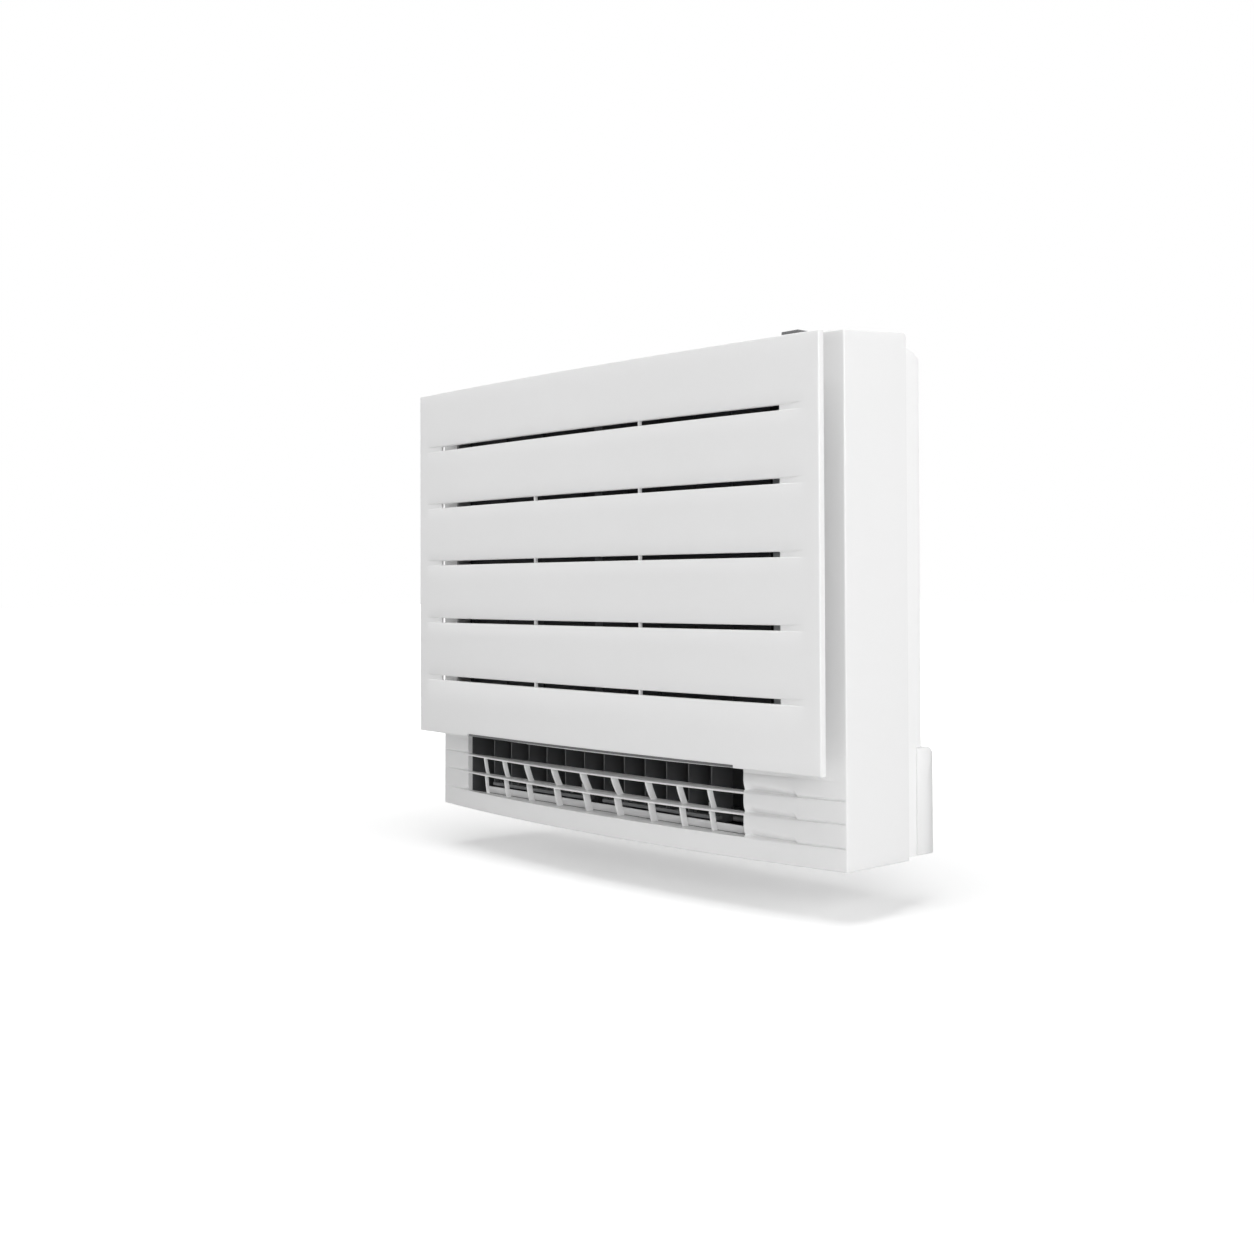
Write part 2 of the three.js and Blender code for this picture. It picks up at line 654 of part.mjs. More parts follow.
// Inside of the lower duct seen from the side, from the mouth back and up to the fan.
function lowerDuctRoom(extra) {
  return [
    [GUARD_BACK_Y - 10, OUTLET_BOTTOM - extra],
    [DUCT_FLAT_END, OUTLET_BOTTOM - extra],
    [DUCT_FLAT_END + 16 + extra / 2, OUTLET_BOTTOM + 18 - extra / 2],
    [CASE_BACK_Y - DUCT_WALL + extra, OUTLET_BOTTOM + 50],
    [CASE_BACK_Y - DUCT_WALL + extra, PLATE_BOTTOM],
    [0, PLATE_BOTTOM],
    [-extra, PLATE_BOTTOM],
    [-8 - extra, OUTLET_TOP + 6 + extra],
    [GUARD_BACK_Y - 10, OUTLET_TOP + extra],
  ];
}

function lowerDuct() {
  const outside = sidePrism(lowerDuctRoom(DUCT_WALL), OUTLET_LEFT - DUCT_WALL, OUTLET_RIGHT + DUCT_WALL);
  const inside = sidePrism(lowerDuctRoom(0), OUTLET_LEFT, OUTLET_RIGHT);
  const mouth = box(-HALF, HALF, FRONT, GUARD_BACK_Y + GAP, 0, PLATE_BOTTOM);
  const back = CASE_BACK_Y - DUCT_WALL;
  const topCut = box(OUTLET_LEFT, OUTLET_RIGHT, 0, back, PLATE_BOTTOM - 5, PLATE_BOTTOM + 5);
  const holes = [mouth, topCut];
  for (let i = 0; i < VANE_COUNT; i += 1) {
    const z0 = OUTLET_BOTTOM - DUCT_WALL - 1;
    holes.push(cylinderZ(VANE_PIN_R + GAP, vaneX(i), VANE_PIVOT_Y, z0, OUTLET_TOP + 20, 6));
  }
  const x0 = OUTLET_LEFT - DUCT_WALL - 1;
  const x1 = OUTLET_RIGHT + DUCT_WALL + 1;
  holes.push(cylinderX(SHUTTER_PIN_R + GAP, SHUTTER_PIVOT_Y, SHUTTER_Z, x0, x1));
  const duct = cut(outside.subtract(inside), holes);
  const feet = [];
  for (const y of [-30, 40]) {
    feet.push(box(OUTLET_LEFT, OUTLET_RIGHT, y, y + 3, WALL, OUTLET_BOTTOM - DUCT_WALL + 1));
  }
  return join([duct, ...feet]);
}

function vane(index) {
  const x = vaneX(index);
  const back = VANE_FRONT_Y + VANE_LENGTH;
  const plate = box(x - VANE_THICK / 2, x + VANE_THICK / 2, VANE_FRONT_Y, back, VANE_BOTTOM, VANE_TOP);
  const notchTop = LINK_NOTCH_BOTTOM + LINK_NOTCH;
  const notchBack = LINK_PIN_Y + LINK_WIDTH / 2 + 2.5;
  const notch = box(x - 2, x + 2, VANE_FRONT_Y - 1, notchBack, LINK_NOTCH_BOTTOM, notchTop);
  const pin = cylinderZ(LINK_PIN_R, x, LINK_PIN_Y, LINK_NOTCH_BOTTOM - 1, notchTop + 1, 6);
  const low = cylinderZ(VANE_PIN_R, x, VANE_PIVOT_Y, OUTLET_BOTTOM - DUCT_WALL, VANE_BOTTOM + 4, 6);
  const high = cylinderZ(VANE_PIN_R, x, VANE_PIVOT_Y, VANE_TOP - 4, OUTLET_TOP + DUCT_WALL, 6);
  const pieces = [plate.subtract(notch), pin, low, high];
  if (TAB_VANES.includes(index)) {
    const y0 = VANE_FRONT_Y - TAB_REACH;
    pieces.push(box(x - TAB_HALF, x + TAB_HALF, y0, VANE_FRONT_Y + TAB_REACH, notchTop + 1, TAB_TOP));
  }
  return join(pieces);
}

function linkBar(first) {
  const z0 = LINK_NOTCH_BOTTOM + (LINK_NOTCH - LINK_THICK) / 2;
  const last = first + VANE_COUNT / 2 - 1;
  const half = LINK_WIDTH / 2;
  const x0 = vaneX(first) - LINK_WIDTH * 0.7;
  const x1 = vaneX(last) + LINK_WIDTH * 0.7;
  const bar = box(x0, x1, LINK_PIN_Y - half, LINK_PIN_Y + half, z0, z0 + LINK_THICK);
  const slots = [];
  for (let i = first; i <= last; i += 1) {
    const x = vaneX(i);
    const reach = half - 1;
    const wide = LINK_PIN_R + 2 * GAP;
    slots.push(box(x - wide, x + wide, LINK_PIN_Y - reach, LINK_PIN_Y + reach, 0, TAB_TOP));
  }
  return cut(bar, slots);
}

function shutter() {
  const x0 = OUTLET_LEFT + SWING;
  const x1 = OUTLET_RIGHT - SWING;
  const half = SHUTTER_THICK / 2;
  const y0 = SHUTTER_PIVOT_Y;
  const plate = box(x0, x1, y0, y0 + SHUTTER_LENGTH, SHUTTER_Z - half, SHUTTER_Z + half);
  const bar = cylinderX(SHUTTER_PIN_R + 1, y0, SHUTTER_Z, x0, x1, 10);
  const pins = cylinderX(SHUTTER_PIN_R, y0, SHUTTER_Z, x0 - SWING - DUCT_WALL, x1 + SWING + DUCT_WALL);
  return join([plate, bar, pins]);
}

// A small geared motor: a round can with two fixing ears.
function motorBox(x, y, z) {
  const can = cylinderX(STEPPER_R, y, z, x, x + STEPPER_LENGTH, 20);
  const ear = STEPPER_R * 1.5;
  return can.add(box(x, x + WALL, y - ear, y + ear, z - STEPPER_R / 3, z + STEPPER_R / 3));
}

function shutterMotor() {
  return motorBox(OUTLET_RIGHT + DUCT_WALL + GAP, SHUTTER_PIVOT_Y, SHUTTER_Z);
}

function flapMotor() {
  return motorBox(OUTLET_RIGHT + FLAP_BOSS + GAP, FLAP_PIVOT_Y, FLAP_PIVOT_Z - STEPPER_R - 2);
}

// ---- fan section ----
function bellMouth() {
  const right = REAR_HALF - 8;
  const plate = box(OUTLET_LEFT - DUCT_WALL, right, PLATE_FRONT_Y, 0, PLATE_BOTTOM + GAP, PLATE_TOP);
  const hole = cylinderY(FAN_INLET_R, FAN_X, FAN_Z, PLATE_FRONT_Y - 1, 1, 28);
  const lip = ringY(
    [
      [FAN_INLET_R - 1, PLATE_FRONT_Y],
      [FAN_INLET_R + 4, PLATE_FRONT_Y],
      [FAN_INLET_R - 2, FAN_FRONT - 2],
      [FAN_INLET_R - 5, FAN_FRONT - 2],
    ],
    FAN_X,
    FAN_Z,
    28,
  );
  return plate.subtract(hole).add(lip);
}

function fanCasing() {
  const x0 = OUTLET_LEFT - DUCT_WALL;
  const x1 = OUTLET_RIGHT + DUCT_WALL;
  const y1 = CASE_BACK_Y;
  const z0 = PLATE_BOTTOM + GAP;
  const back = box(x0, x1, y1 - DUCT_WALL, y1, z0, PLATE_TOP);
  const left = box(x0, OUTLET_LEFT, GAP, y1, z0, PLATE_TOP);
  const right = box(OUTLET_RIGHT, x1, GAP, y1, z0, PLATE_TOP);
  const hole = cylinderY(MOTOR_R - MOTOR_STEP, FAN_X, FAN_Z, y1 - DUCT_WALL - 1, y1 + 1, 32);
  return cut(join([back, left, right]), [hole]);
}

function fanMotor() {
  const can = ringY(
    [
      [0, MOTOR_FRONT_Y],
      [0, MOTOR_BACK_Y],
      [MOTOR_R, MOTOR_BACK_Y],
      [MOTOR_R, MOTOR_FRONT_Y + MOTOR_STEP * 0.7],
      [MOTOR_R - MOTOR_STEP, MOTOR_FRONT_Y],
    ].reverse(),
    FAN_X,
    FAN_Z,
  );
  return can.add(cylinderY(SHAFT_R, FAN_X, FAN_Z, FAN_FRONT + 14, MOTOR_FRONT_Y + 1, 16));
}

function fanBlade(angle) {
  const y0 = FAN_FRONT + 1;
  const blade = new THREE.BoxGeometry(BLADE_LENGTH, FAN_DEPTH - 2, BLADE_THICK);
  const radius = FAN_R - BLADE_LENGTH * 0.58;
  blade.rotateY(BLADE_SWEEP).translate(radius, y0 + (FAN_DEPTH - 2) / 2, 0);
  blade.rotateY(angle).translate(FAN_X, 0, FAN_Z);
  return solid(blade);
}

function fanWheel() {
  const y1 = FAN_FRONT + FAN_DEPTH;
  const shroud = ringY(
    [
      [FAN_INLET_R, FAN_FRONT],
      [FAN_INLET_R, FAN_FRONT + 3],
      [FAN_R, FAN_FRONT + 7],
      [FAN_R, FAN_FRONT + 4],
    ].reverse(),
    FAN_X,
    FAN_Z,
    28,
  );
  const disc = ringY(
    [
      [SHAFT_R + GAP, y1 - 26],
      [HUB_R, y1 - 26],
      [HUB_R, y1 - 14],
      [MOTOR_R + 6, y1 - 3],
      [FAN_R, y1 - 3],
      [FAN_R, y1],
      [MOTOR_R + 6, y1],
      [HUB_R, y1 - 10],
      [SHAFT_R + GAP, y1 - 10],
    ],
    FAN_X,
    FAN_Z,
    28,
  );
  const blades = [];
  for (let i = 0; i < FAN_BLADES; i += 1) {
    blades.push(fanBlade((2 * Math.PI * i) / FAN_BLADES));
  }
  return join([shroud, disc, ...blades]);
}

function upperDuct() {
  const low = PLATE_TOP + GAP;
  const high = topZ(FLAP_FRONT_Y) - WALL - 3;
  const mouthBack = FLAP_PIVOT_Y + 14;
  const outside = [
    [PLATE_FRONT_Y, low],
    [CASE_BACK_Y, low],
    [CASE_BACK_Y, low + 7],
    [20, high],
    [FLAP_FRONT_Y + 2, high],
    [FLAP_FRONT_Y + 2, high - 4],
    [PLATE_FRONT_Y - 2, low + 4],
  ];
  const inside = [
    [0, low - 1],
    [CASE_BACK_Y - DUCT_WALL, low - 1],
    [CASE_BACK_Y - DUCT_WALL, low + 4],
    [20, high - DUCT_WALL - 1],
    [mouthBack, high - DUCT_WALL],
    [mouthBack, high + 1],
    [FLAP_FRONT_Y + 5, high + 1],
    [FLAP_FRONT_Y + 5, high - 1],
    [0, low + 6],
  ];
  const shell = sidePrism(outside, OUTLET_LEFT - DUCT_WALL, OUTLET_RIGHT + DUCT_WALL);
  return shell.subtract(sidePrism(inside, OUTLET_LEFT, OUTLET_RIGHT));
}

function topFlap() {
  const x0 = OUTLET_LEFT + FLAP_SIDE;
  const x1 = OUTLET_RIGHT - FLAP_SIDE;
  const outline = [
    [FLAP_FRONT_Y, topZ(FLAP_FRONT_Y) - WALL],
    [FLAP_PIVOT_Y, topZ(FLAP_PIVOT_Y) - WALL],
    [FLAP_PIVOT_Y, topZ(FLAP_PIVOT_Y)],
    [FLAP_FRONT_Y, topZ(FLAP_FRONT_Y)],
  ];
  const knuckle = cylinderX(FLAP_KNUCKLE_R, FLAP_PIVOT_Y, FLAP_PIVOT_Z, x0, x1, 20);
  const reach = FLAP_SIDE + FLAP_BOSS;
  const pins = cylinderX(FLAP_PIN_R, FLAP_PIVOT_Y, FLAP_PIVOT_Z, x0 - reach, x1 + reach);
  return join([sidePrism(outline, x0, x1), knuckle, pins]);
}

// ---- heat exchanger, filters and drain pan ----
function coilRowZ(row) {
  return COIL_BOTTOM + COIL_ROW_RISE * (row + 0.5);
}

function coil() {
  const y1 = PLATE_FRONT_Y - GAP;
  const x0 = COIL_LEFT + COIL_END;
  const x1 = COIL_RIGHT - COIL_END;
  const fins = box(x0, x1, COIL_FRONT_Y, y1, COIL_BOTTOM, COIL_TOP);
  const grooves = [];
  for (let i = 1; i <= COIL_GROOVES; i += 1) {
    const x = x0 + ((x1 - x0) * i) / (COIL_GROOVES + 1);
    grooves.push(box(x - 1, x + 1, COIL_FRONT_Y - 1, COIL_FRONT_Y + 3, COIL_BOTTOM + 4, COIL_TOP - 4));
  }
  const pieces = [cut(fins, grooves)];
  const y = (COIL_FRONT_Y + y1) / 2;
  for (let i = 0; i < COIL_ROWS; i += 1) {
    const z = coilRowZ(i);
    pieces.push(cylinderX(COIL_TUBE_R, y, z, COIL_LEFT, COIL_RIGHT, 6));
    if (i % 2 === 0) {
      const above = coilRowZ(i + 1);
      pieces.push(cylinderZ(COIL_TUBE_R, COIL_RIGHT - COIL_TUBE_R, y, z, above, 6));
      pieces.push(cylinderZ(COIL_TUBE_R, COIL_LEFT + COIL_TUBE_R, y, z, above, 6));
    }
  }
  return join(pieces);
}

function drainPan() {
  const y0 = COIL_FRONT_Y - 3;
  const y1 = PLATE_FRONT_Y - GAP;
  const z0 = COIL_BOTTOM - GAP - 16;
  const pan = box(COIL_LEFT, COIL_RIGHT, y0, y1, z0, COIL_BOTTOM - GAP);
  const room = box(COIL_LEFT + 2, COIL_RIGHT - 2, y0 + 2, y1 - 2, z0 + 4, COIL_BOTTOM + 1);
  const seats = [
    box(COIL_LEFT + 60, COIL_LEFT + 66, y0 + 1, y1 - 1, z0 + 2, COIL_BOTTOM - GAP),
    box(COIL_RIGHT - 66, COIL_RIGHT - 60, y0 + 1, y1 - 1, z0 + 2, COIL_BOTTOM - GAP),
  ];
  const spout = cylinderZ(8, COIL_LEFT + 20, (y0 + y1) / 2, z0 - 10, z0 + 1, 16);
  const bore = cylinderZ(6, COIL_LEFT + 20, (y0 + y1) / 2, z0 - 11, z0 + 6, 16);
  return join([pan.subtract(room), ...seats, spout]).subtract(bore);
}

// A filter is a frame with crossbars, closed behind by a thin net.
function filter(side) {
  const x0 = side > 0 ? GAP : -INTAKE_HALF + 4;
  const x1 = side > 0 ? COIL_RIGHT : -GAP;
  const y0 = FILTER_FRONT_Y;
  const y1 = y0 + FILTER_THICK;
  const z0 = COIL_BOTTOM;
  const z1 = COIL_TOP + 4;
  const frame = box(x0, x1, y0, y1, z0, z1);
  const windows = [];
  const columns = 4;
  const rows = 6;
  const bar = 4;
  const wide = (x1 - x0 - bar) / columns;
  const tall = (z1 - z0 - bar) / rows;
  for (let i = 0; i < columns; i += 1) {
    for (let j = 0; j < rows; j += 1) {
      const x = x0 + bar + i * wide;
      const z = z0 + bar + j * tall;
      windows.push(box(x, x + wide - bar, y0 - 1, y1 - 0.8, z, z + tall - bar));
    }
  }
  return cut(frame, windows);
}

function deodoriser(side) {
  const x0 = (side > 0 ? COIL_RIGHT : COIL_LEFT) / 2 - DEODORISER_HALF;
  const x1 = x0 + 2 * DEODORISER_HALF;
  const y0 = DEODORISER_FRONT_Y;
  const z0 = FAN_Z - DEODORISER_TALL;
  const block = box(x0, x1, y0, y0 + DEODORISER_THICK, z0, FAN_Z + DEODORISER_TALL);
  const cells = [];
  const columns = 4;
  const rows = 3;
  const bar = 3;
  const wide = (x1 - x0 - bar) / columns;
  const tall = (2 * DEODORISER_TALL - bar) / rows;
  for (let i = 0; i < columns; i += 1) {
    for (let j = 0; j < rows; j += 1) {
      const x = x0 + bar + i * wide;
      const z = z0 + bar + j * tall;
      cells.push(box(x, x + wide - bar, y0 - 1, y0 + bar, z, z + tall - bar));
    }
  }
  return cut(block, cells);
}

// ---- electrical parts on the right ----
function electricalBox() {
  const y1 = PLATE_FRONT_Y - GAP;
  const outer = box(CASE_LEFT, CASE_RIGHT, CASE_FRONT_Y, y1, CASE_BOTTOM, CASE_TOP);
  const room = box(
    CASE_LEFT + CASE_WALL,
    CASE_RIGHT - CASE_WALL,
    CASE_FRONT_Y - 1,
    y1 - CASE_WALL,
    CASE_BOTTOM + CASE_WALL,
    CASE_TOP - CASE_WALL,
  );
  return outer.subtract(room);
}

function circuitBoard() {
  const y1 = PLATE_FRONT_Y - GAP - CASE_WALL;
  const sheet = box(CASE_LEFT + 6, CASE_RIGHT - 6, y1 - 8, y1 - 6.4, CASE_BOTTOM + 80, CASE_TOP - 8);
  const parts = [
    box(CASE_LEFT + 12, CASE_LEFT + 40, y1 - 26, y1 - 7, CASE_TOP - 60, CASE_TOP - 20),
    box(CASE_RIGHT - 44, CASE_RIGHT - 14, y1 - 18, y1 - 7, CASE_TOP - 130, CASE_TOP - 90),
    cylinderY(9, CASE_LEFT + 28, CASE_TOP - 110, y1 - 30, y1 - 7, 16),
    cylinderY(9, CASE_LEFT + 28, CASE_TOP - 140, y1 - 30, y1 - 7, 16),
    box(CASE_LEFT + 14, CASE_RIGHT - 20, y1 - 15, y1 - 7, CASE_BOTTOM + 92, CASE_BOTTOM + 104),
  ];
  for (const x of [CASE_LEFT + 10, CASE_RIGHT - 10]) {
    for (const z of [CASE_BOTTOM + 86, CASE_TOP - 14]) {
      parts.push(cylinderY(2.5, x, z, y1 - 7, y1, 8));
    }
  }
  return join([sheet, ...parts]);
}

function terminalBlock() {
  const y1 = PLATE_FRONT_Y - GAP - CASE_WALL;
  const base = box(CASE_LEFT + 10, CASE_RIGHT - 10, y1 - 18, y1, CASE_BOTTOM + 20, CASE_BOTTOM + 50);
  const cells = [];
  for (let i = 0; i < 4; i += 1) {
    const x = CASE_LEFT + 13 + i * 16.5;
    cells.push(box(x, x + 14, y1 - 19, y1 - 8, CASE_BOTTOM + 18, CASE_BOTTOM + 46));
  }
  return cut(base, cells);
}

function electricalCover() {
  const y1 = CASE_FRONT_Y - GAP;
  const sheet = box(CASE_LEFT, CASE_RIGHT, y1 - 2, y1, CASE_BOTTOM, CASE_TOP);
  const vents = [];
  for (let i = 0; i < 5; i += 1) {
    const z = CASE_TOP - 40 - i * 12;
    vents.push(box(CASE_LEFT + 20, CASE_RIGHT - 20, y1 - 3, y1 + 1, z, z + 3));
  }
  return cut(sheet, vents);
}

// ---- display unit with its button, between the grille and the panel's top edge ----
function displayHousing() {
  const back = BODY_EDGE_Y;
  const block = box(DISPLAY_LEFT, DISPLAY_RIGHT, DISPLAY_FRONT, back, DISPLAY_BOTTOM, DISPLAY_TOP);
  const grille = bowedSlab(bodyFrontY, -HALF, HALF, -GAP, BACK, 0, HEIGHT + WALL);
  const x = (DISPLAY_LEFT + DISPLAY_RIGHT) / 2;
  const y = DISPLAY_FRONT + BUTTON_BACK;
  const well = cylinderZ(BUTTON_R + GAP, x, y, DISPLAY_TOP - BUTTON_WELL, DISPLAY_TOP + 1, 20);
  return block.subtract(grille).subtract(well);
}

function button() {
  const x = (DISPLAY_LEFT + DISPLAY_RIGHT) / 2;
  const z0 = DISPLAY_TOP - BUTTON_WELL + BUTTON_TRAVEL + GAP;
  return cylinderZ(BUTTON_R, x, DISPLAY_FRONT + BUTTON_BACK, z0, DISPLAY_TOP + BUTTON_PROUD, 20);
}

// ---- rear casing, corner covers and mounting plate ----
function rearOutline(inset, spineBack) {
  return [
    [SIDE_BACK_Y, inset],
    [spineBack, inset],
    [spineBack, REAR_TOP - 12 - inset],
    [spineBack - 10, REAR_TOP - 5 - inset],
    [spineBack - 26, REAR_TOP - inset],
    [SIDE_BACK_Y, REAR_TOP - inset],
  ];
}

function rearCasing() {
  const spineBack = BACK - MOUNT_PLATE - MOUNT_EMBOSS;
  const tub = sidePrism(rearOutline(0, REAR_BACK), -REAR_HALF, REAR_HALF);
  const inset = WALL + GAP;
  const rimTop = topZ(SIDE_BACK_Y - RIM_DEPTH) - inset;
  const rim = box(-HALF + inset, HALF - inset, SIDE_BACK_Y - RIM_DEPTH, SIDE_BACK_Y + GAP, inset, rimTop);
  const spine = box(-SPINE_HALF, SPINE_HALF, REAR_BACK - 5, spineBack, SPINE_BOTTOM, SPINE_TOP);
  const room = sidePrism(
    [
      [SIDE_BACK_Y - RIM_DEPTH - 1, REAR_WALL + WALL],
      [REAR_BACK - REAR_WALL, REAR_WALL],
      [REAR_BACK - REAR_WALL, REAR_TOP - 14 - REAR_WALL],
      [REAR_BACK - 12, REAR_TOP - 6 - REAR_WALL],
      [REAR_BACK - 27, REAR_TOP - REAR_WALL],
      [SIDE_BACK_Y - RIM_DEPTH - 1, REAR_TOP - REAR_WALL],
    ],
    -REAR_HALF + REAR_WALL,
    REAR_HALF - REAR_WALL,
  );
  const spineRoom = box(
    -SPINE_HALF + REAR_WALL,
    SPINE_HALF - REAR_WALL,
    REAR_BACK - 10,
    spineBack - REAR_WALL,
    SPINE_BOTTOM + REAR_WALL,
    SPINE_TOP - REAR_WALL,
  );
  const corners = [];
  const floors = [];
  for (const side of [-1, 1]) {
    const near = side * (BLOCK_HALF - BLOCK_WIDTH - GAP);
    const far = side * (BLOCK_HALF + 5);
    const x0 = Math.min(near, far);
    const x1 = Math.max(near, far);
    corners.push(box(x0, x1, BLOCK_FRONT - GAP, BACK, -1, BLOCK_TOP + GAP));
    const left = Math.max(x0, -REAR_HALF);
    const right = Math.min(x1, REAR_HALF);
    floors.push(box(left, right, BLOCK_FRONT - 4, REAR_BACK - 1, BLOCK_TOP + GAP, BLOCK_TOP + WALL));
  }
  const shell = join([tub, rim, spine]);
  const opened = cut(shell, [room, spineRoom]);
  const posts = [];
  for (const x of [OUTLET_LEFT + 20, OUTLET_RIGHT - 20]) {
    for (const z of [PLATE_BOTTOM + 30, PLATE_TOP - 30]) {
      posts.push(cylinderY(6, x, z, CASE_BACK_Y + GAP, spineBack - 1, 12));
    }
  }
  return cut(join([opened, ...floors, ...posts]), corners);
}

function cornerCover(side) {
  const near = side * (BLOCK_HALF - BLOCK_WIDTH);
  const far = side * BLOCK_HALF;
  const x0 = Math.min(near, far);
  const x1 = Math.max(near, far);
  const outline = [
    [BLOCK_FRONT, 0],
    [BLOCK_BACK, 0],
    [BLOCK_BACK, BLOCK_TOP - BLOCK_BEVEL],
    [BLOCK_BACK - BLOCK_BEVEL, BLOCK_TOP],
    [BLOCK_FRONT, BLOCK_TOP],
  ];
  const block = sidePrism(outline, x0, x1);
  const room = box(
    x0 + REAR_WALL,
    x1 - REAR_WALL,
    BLOCK_FRONT - 1,
    BLOCK_BACK - REAR_WALL,
    REAR_WALL,
    BLOCK_TOP - REAR_WALL - 2,
  );
  return block.subtract(room);
}

function mountingPlate() {
  const y0 = BACK - MOUNT_PLATE;
  const plate = box(-SPINE_HALF + 20, SPINE_HALF - 20, y0, BACK, SPINE_BOTTOM + 30, SPINE_TOP - 20);
  const pads = [];
  const holes = [];
  const reach = SPINE_HALF - MOUNT_PAD_INSET;
  for (const x of [-reach, 0, reach]) {
    for (const z of [SPINE_BOTTOM + MOUNT_PAD_INSET, SPINE_TOP - MOUNT_PAD_INSET]) {
      pads.push(cylinderY(MOUNT_PAD_R, x, z, y0 - MOUNT_EMBOSS, y0 + 0.5, 12));
    }
    const aside = 3.5 * MOUNT_PAD_R;
    holes.push(cylinderY(MOUNT_HOLE_R, x + aside, FAN_Z, y0 - 1, BACK + 1, 8));
    holes.push(cylinderY(MOUNT_HOLE_R, x - aside, FAN_Z + 2 * aside, y0 - 1, BACK + 1, 8));
  }
  return cut(join([plate, ...pads]), holes);
}

// ---- refrigerant pipes and their flare nuts, in the space left of the ducts ----
function pipeRun({ offset, row, radius }) {
  const y = (COIL_FRONT_Y + PLATE_FRONT_Y) / 2;
  const height = coilRowZ(row);
  const points = [
    [COIL_LEFT - GAP, y, height],
    [PIPE_X, y, height],
    [PIPE_X, y + offset, height - PIPE_DROP],
    [PIPE_X, y + offset, PIPE_LOW],
  ];
  return pipe(points, radius);
}

function flareNut({ offset, nut }) {
  const y = (COIL_FRONT_Y + PLATE_FRONT_Y) / 2 + offset;
  const bottom = PIPE_LOW - NUT_HEIGHT;
  const body = cylinderZ(nut, PIPE_X, y, bottom, PIPE_LOW - GAP, 6);
  return body.subtract(cylinderZ(nut * 0.45, PIPE_X, y, bottom - 1, bottom + NUT_HEIGHT / 2, 12));
}

// ---- the assembly ----
addMesh("front_grille", white, frontGrille());
addMesh("front_panel", white, frontPanel());
addMesh("panel_stopper_left", grey, stopper(-1));
addMesh("panel_stopper_right", grey, stopper(1));
addMesh("outlet_guard", white, outletGuard());
addMesh("lower_duct", dark, lowerDuct());
for (let i = 0; i < VANE_COUNT; i += 1) {
  addMesh(`vane_${String(i + 1).padStart(2, "0")}`, dark, vane(i));
}
addMesh("link_bar_left", grey, linkBar(0));
addMesh("link_bar_right", grey, linkBar(VANE_COUNT / 2));
addMesh("lower_shutter", inner, shutter());
addMesh("shutter_motor", inner, shutterMotor());
addMesh("bell_mouth", dark, bellMouth());
addMesh("fan_casing", dark, fanCasing());
addMesh("fan_motor", steel, fanMotor());
addMesh("fan_wheel", inner, fanWheel());
addMesh("upper_duct", dark, upperDuct());
addMesh("top_flap", white, topFlap());
addMesh("top_flap_motor", inner, flapMotor());
addMesh("heat_exchanger", alloy, coil());
addMesh("drain_pan", inner, drainPan());
addMesh("air_filter_left", net, filter(-1));
addMesh("air_filter_right", net, filter(1));
addMesh("deodorising_filter_left", dark, deodoriser(-1));
addMesh("deodorising_filter_right", dark, deodoriser(1));
addMesh("electrical_box", steel, electricalBox());
addMesh("circuit_board", board, circuitBoard());
addMesh("terminal_block", white, terminalBlock());
addMesh("electrical_cover", steel, electricalCover());
addMesh("display_housing", grey, displayHousing());
addMesh("on_off_button", white, button());
addMesh("rear_casing", white, rearCasing());
addMesh("corner_cover_left", white, cornerCover(-1));
addMesh("corner_cover_right", white, cornerCover(1));
addMesh("mounting_plate", steel, mountingPlate());
addMesh("liquid_pipe", copper, pipeRun(LIQUID_PIPE));
addMesh("gas_pipe", copper, pipeRun(GAS_PIPE));
addMesh("liquid_flare_nut", brass, flareNut(LIQUID_PIPE));
addMesh("gas_flare_nut", brass, flareNut(GAS_PIPE));
for (const [name, x, z] of SCREW_SPOTS) {
  const seat = bodyFrontY(Math.abs(x) - SCREW_HEAD_R) - GAP;
  const head = cylinderY(SCREW_HEAD_R, x, z, seat - SCREW_HEAD, seat, 12);
  const shank = cylinderY(SCREW_R, x, z, seat - 1, seat + SCREW_LENGTH, 6);
  addMesh(`grille_screw_${name}`, steel, head.add(shank));
}

export default unit;
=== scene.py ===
import math
import bpy
import numpy as np
from mathutils import Matrix


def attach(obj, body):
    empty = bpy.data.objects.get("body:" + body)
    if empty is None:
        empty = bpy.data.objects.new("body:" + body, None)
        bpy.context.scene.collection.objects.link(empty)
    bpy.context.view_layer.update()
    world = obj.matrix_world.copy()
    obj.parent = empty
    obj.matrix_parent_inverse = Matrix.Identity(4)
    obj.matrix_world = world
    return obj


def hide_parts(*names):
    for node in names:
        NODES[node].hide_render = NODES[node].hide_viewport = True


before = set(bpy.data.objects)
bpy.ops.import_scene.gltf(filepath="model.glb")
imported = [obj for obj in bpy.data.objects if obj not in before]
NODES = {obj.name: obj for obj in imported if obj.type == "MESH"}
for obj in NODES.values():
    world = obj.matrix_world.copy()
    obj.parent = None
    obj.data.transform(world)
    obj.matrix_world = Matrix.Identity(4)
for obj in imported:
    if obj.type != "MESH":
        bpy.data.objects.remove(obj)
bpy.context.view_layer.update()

# A slim white console air conditioner. Lengths here are millimetres and go into the meshes as
# metres. +X is to the right of someone facing the unit, +Y runs into the wall, +Z is up.
MM = 0.001
WELD = 0.004  # points nearer than this become one

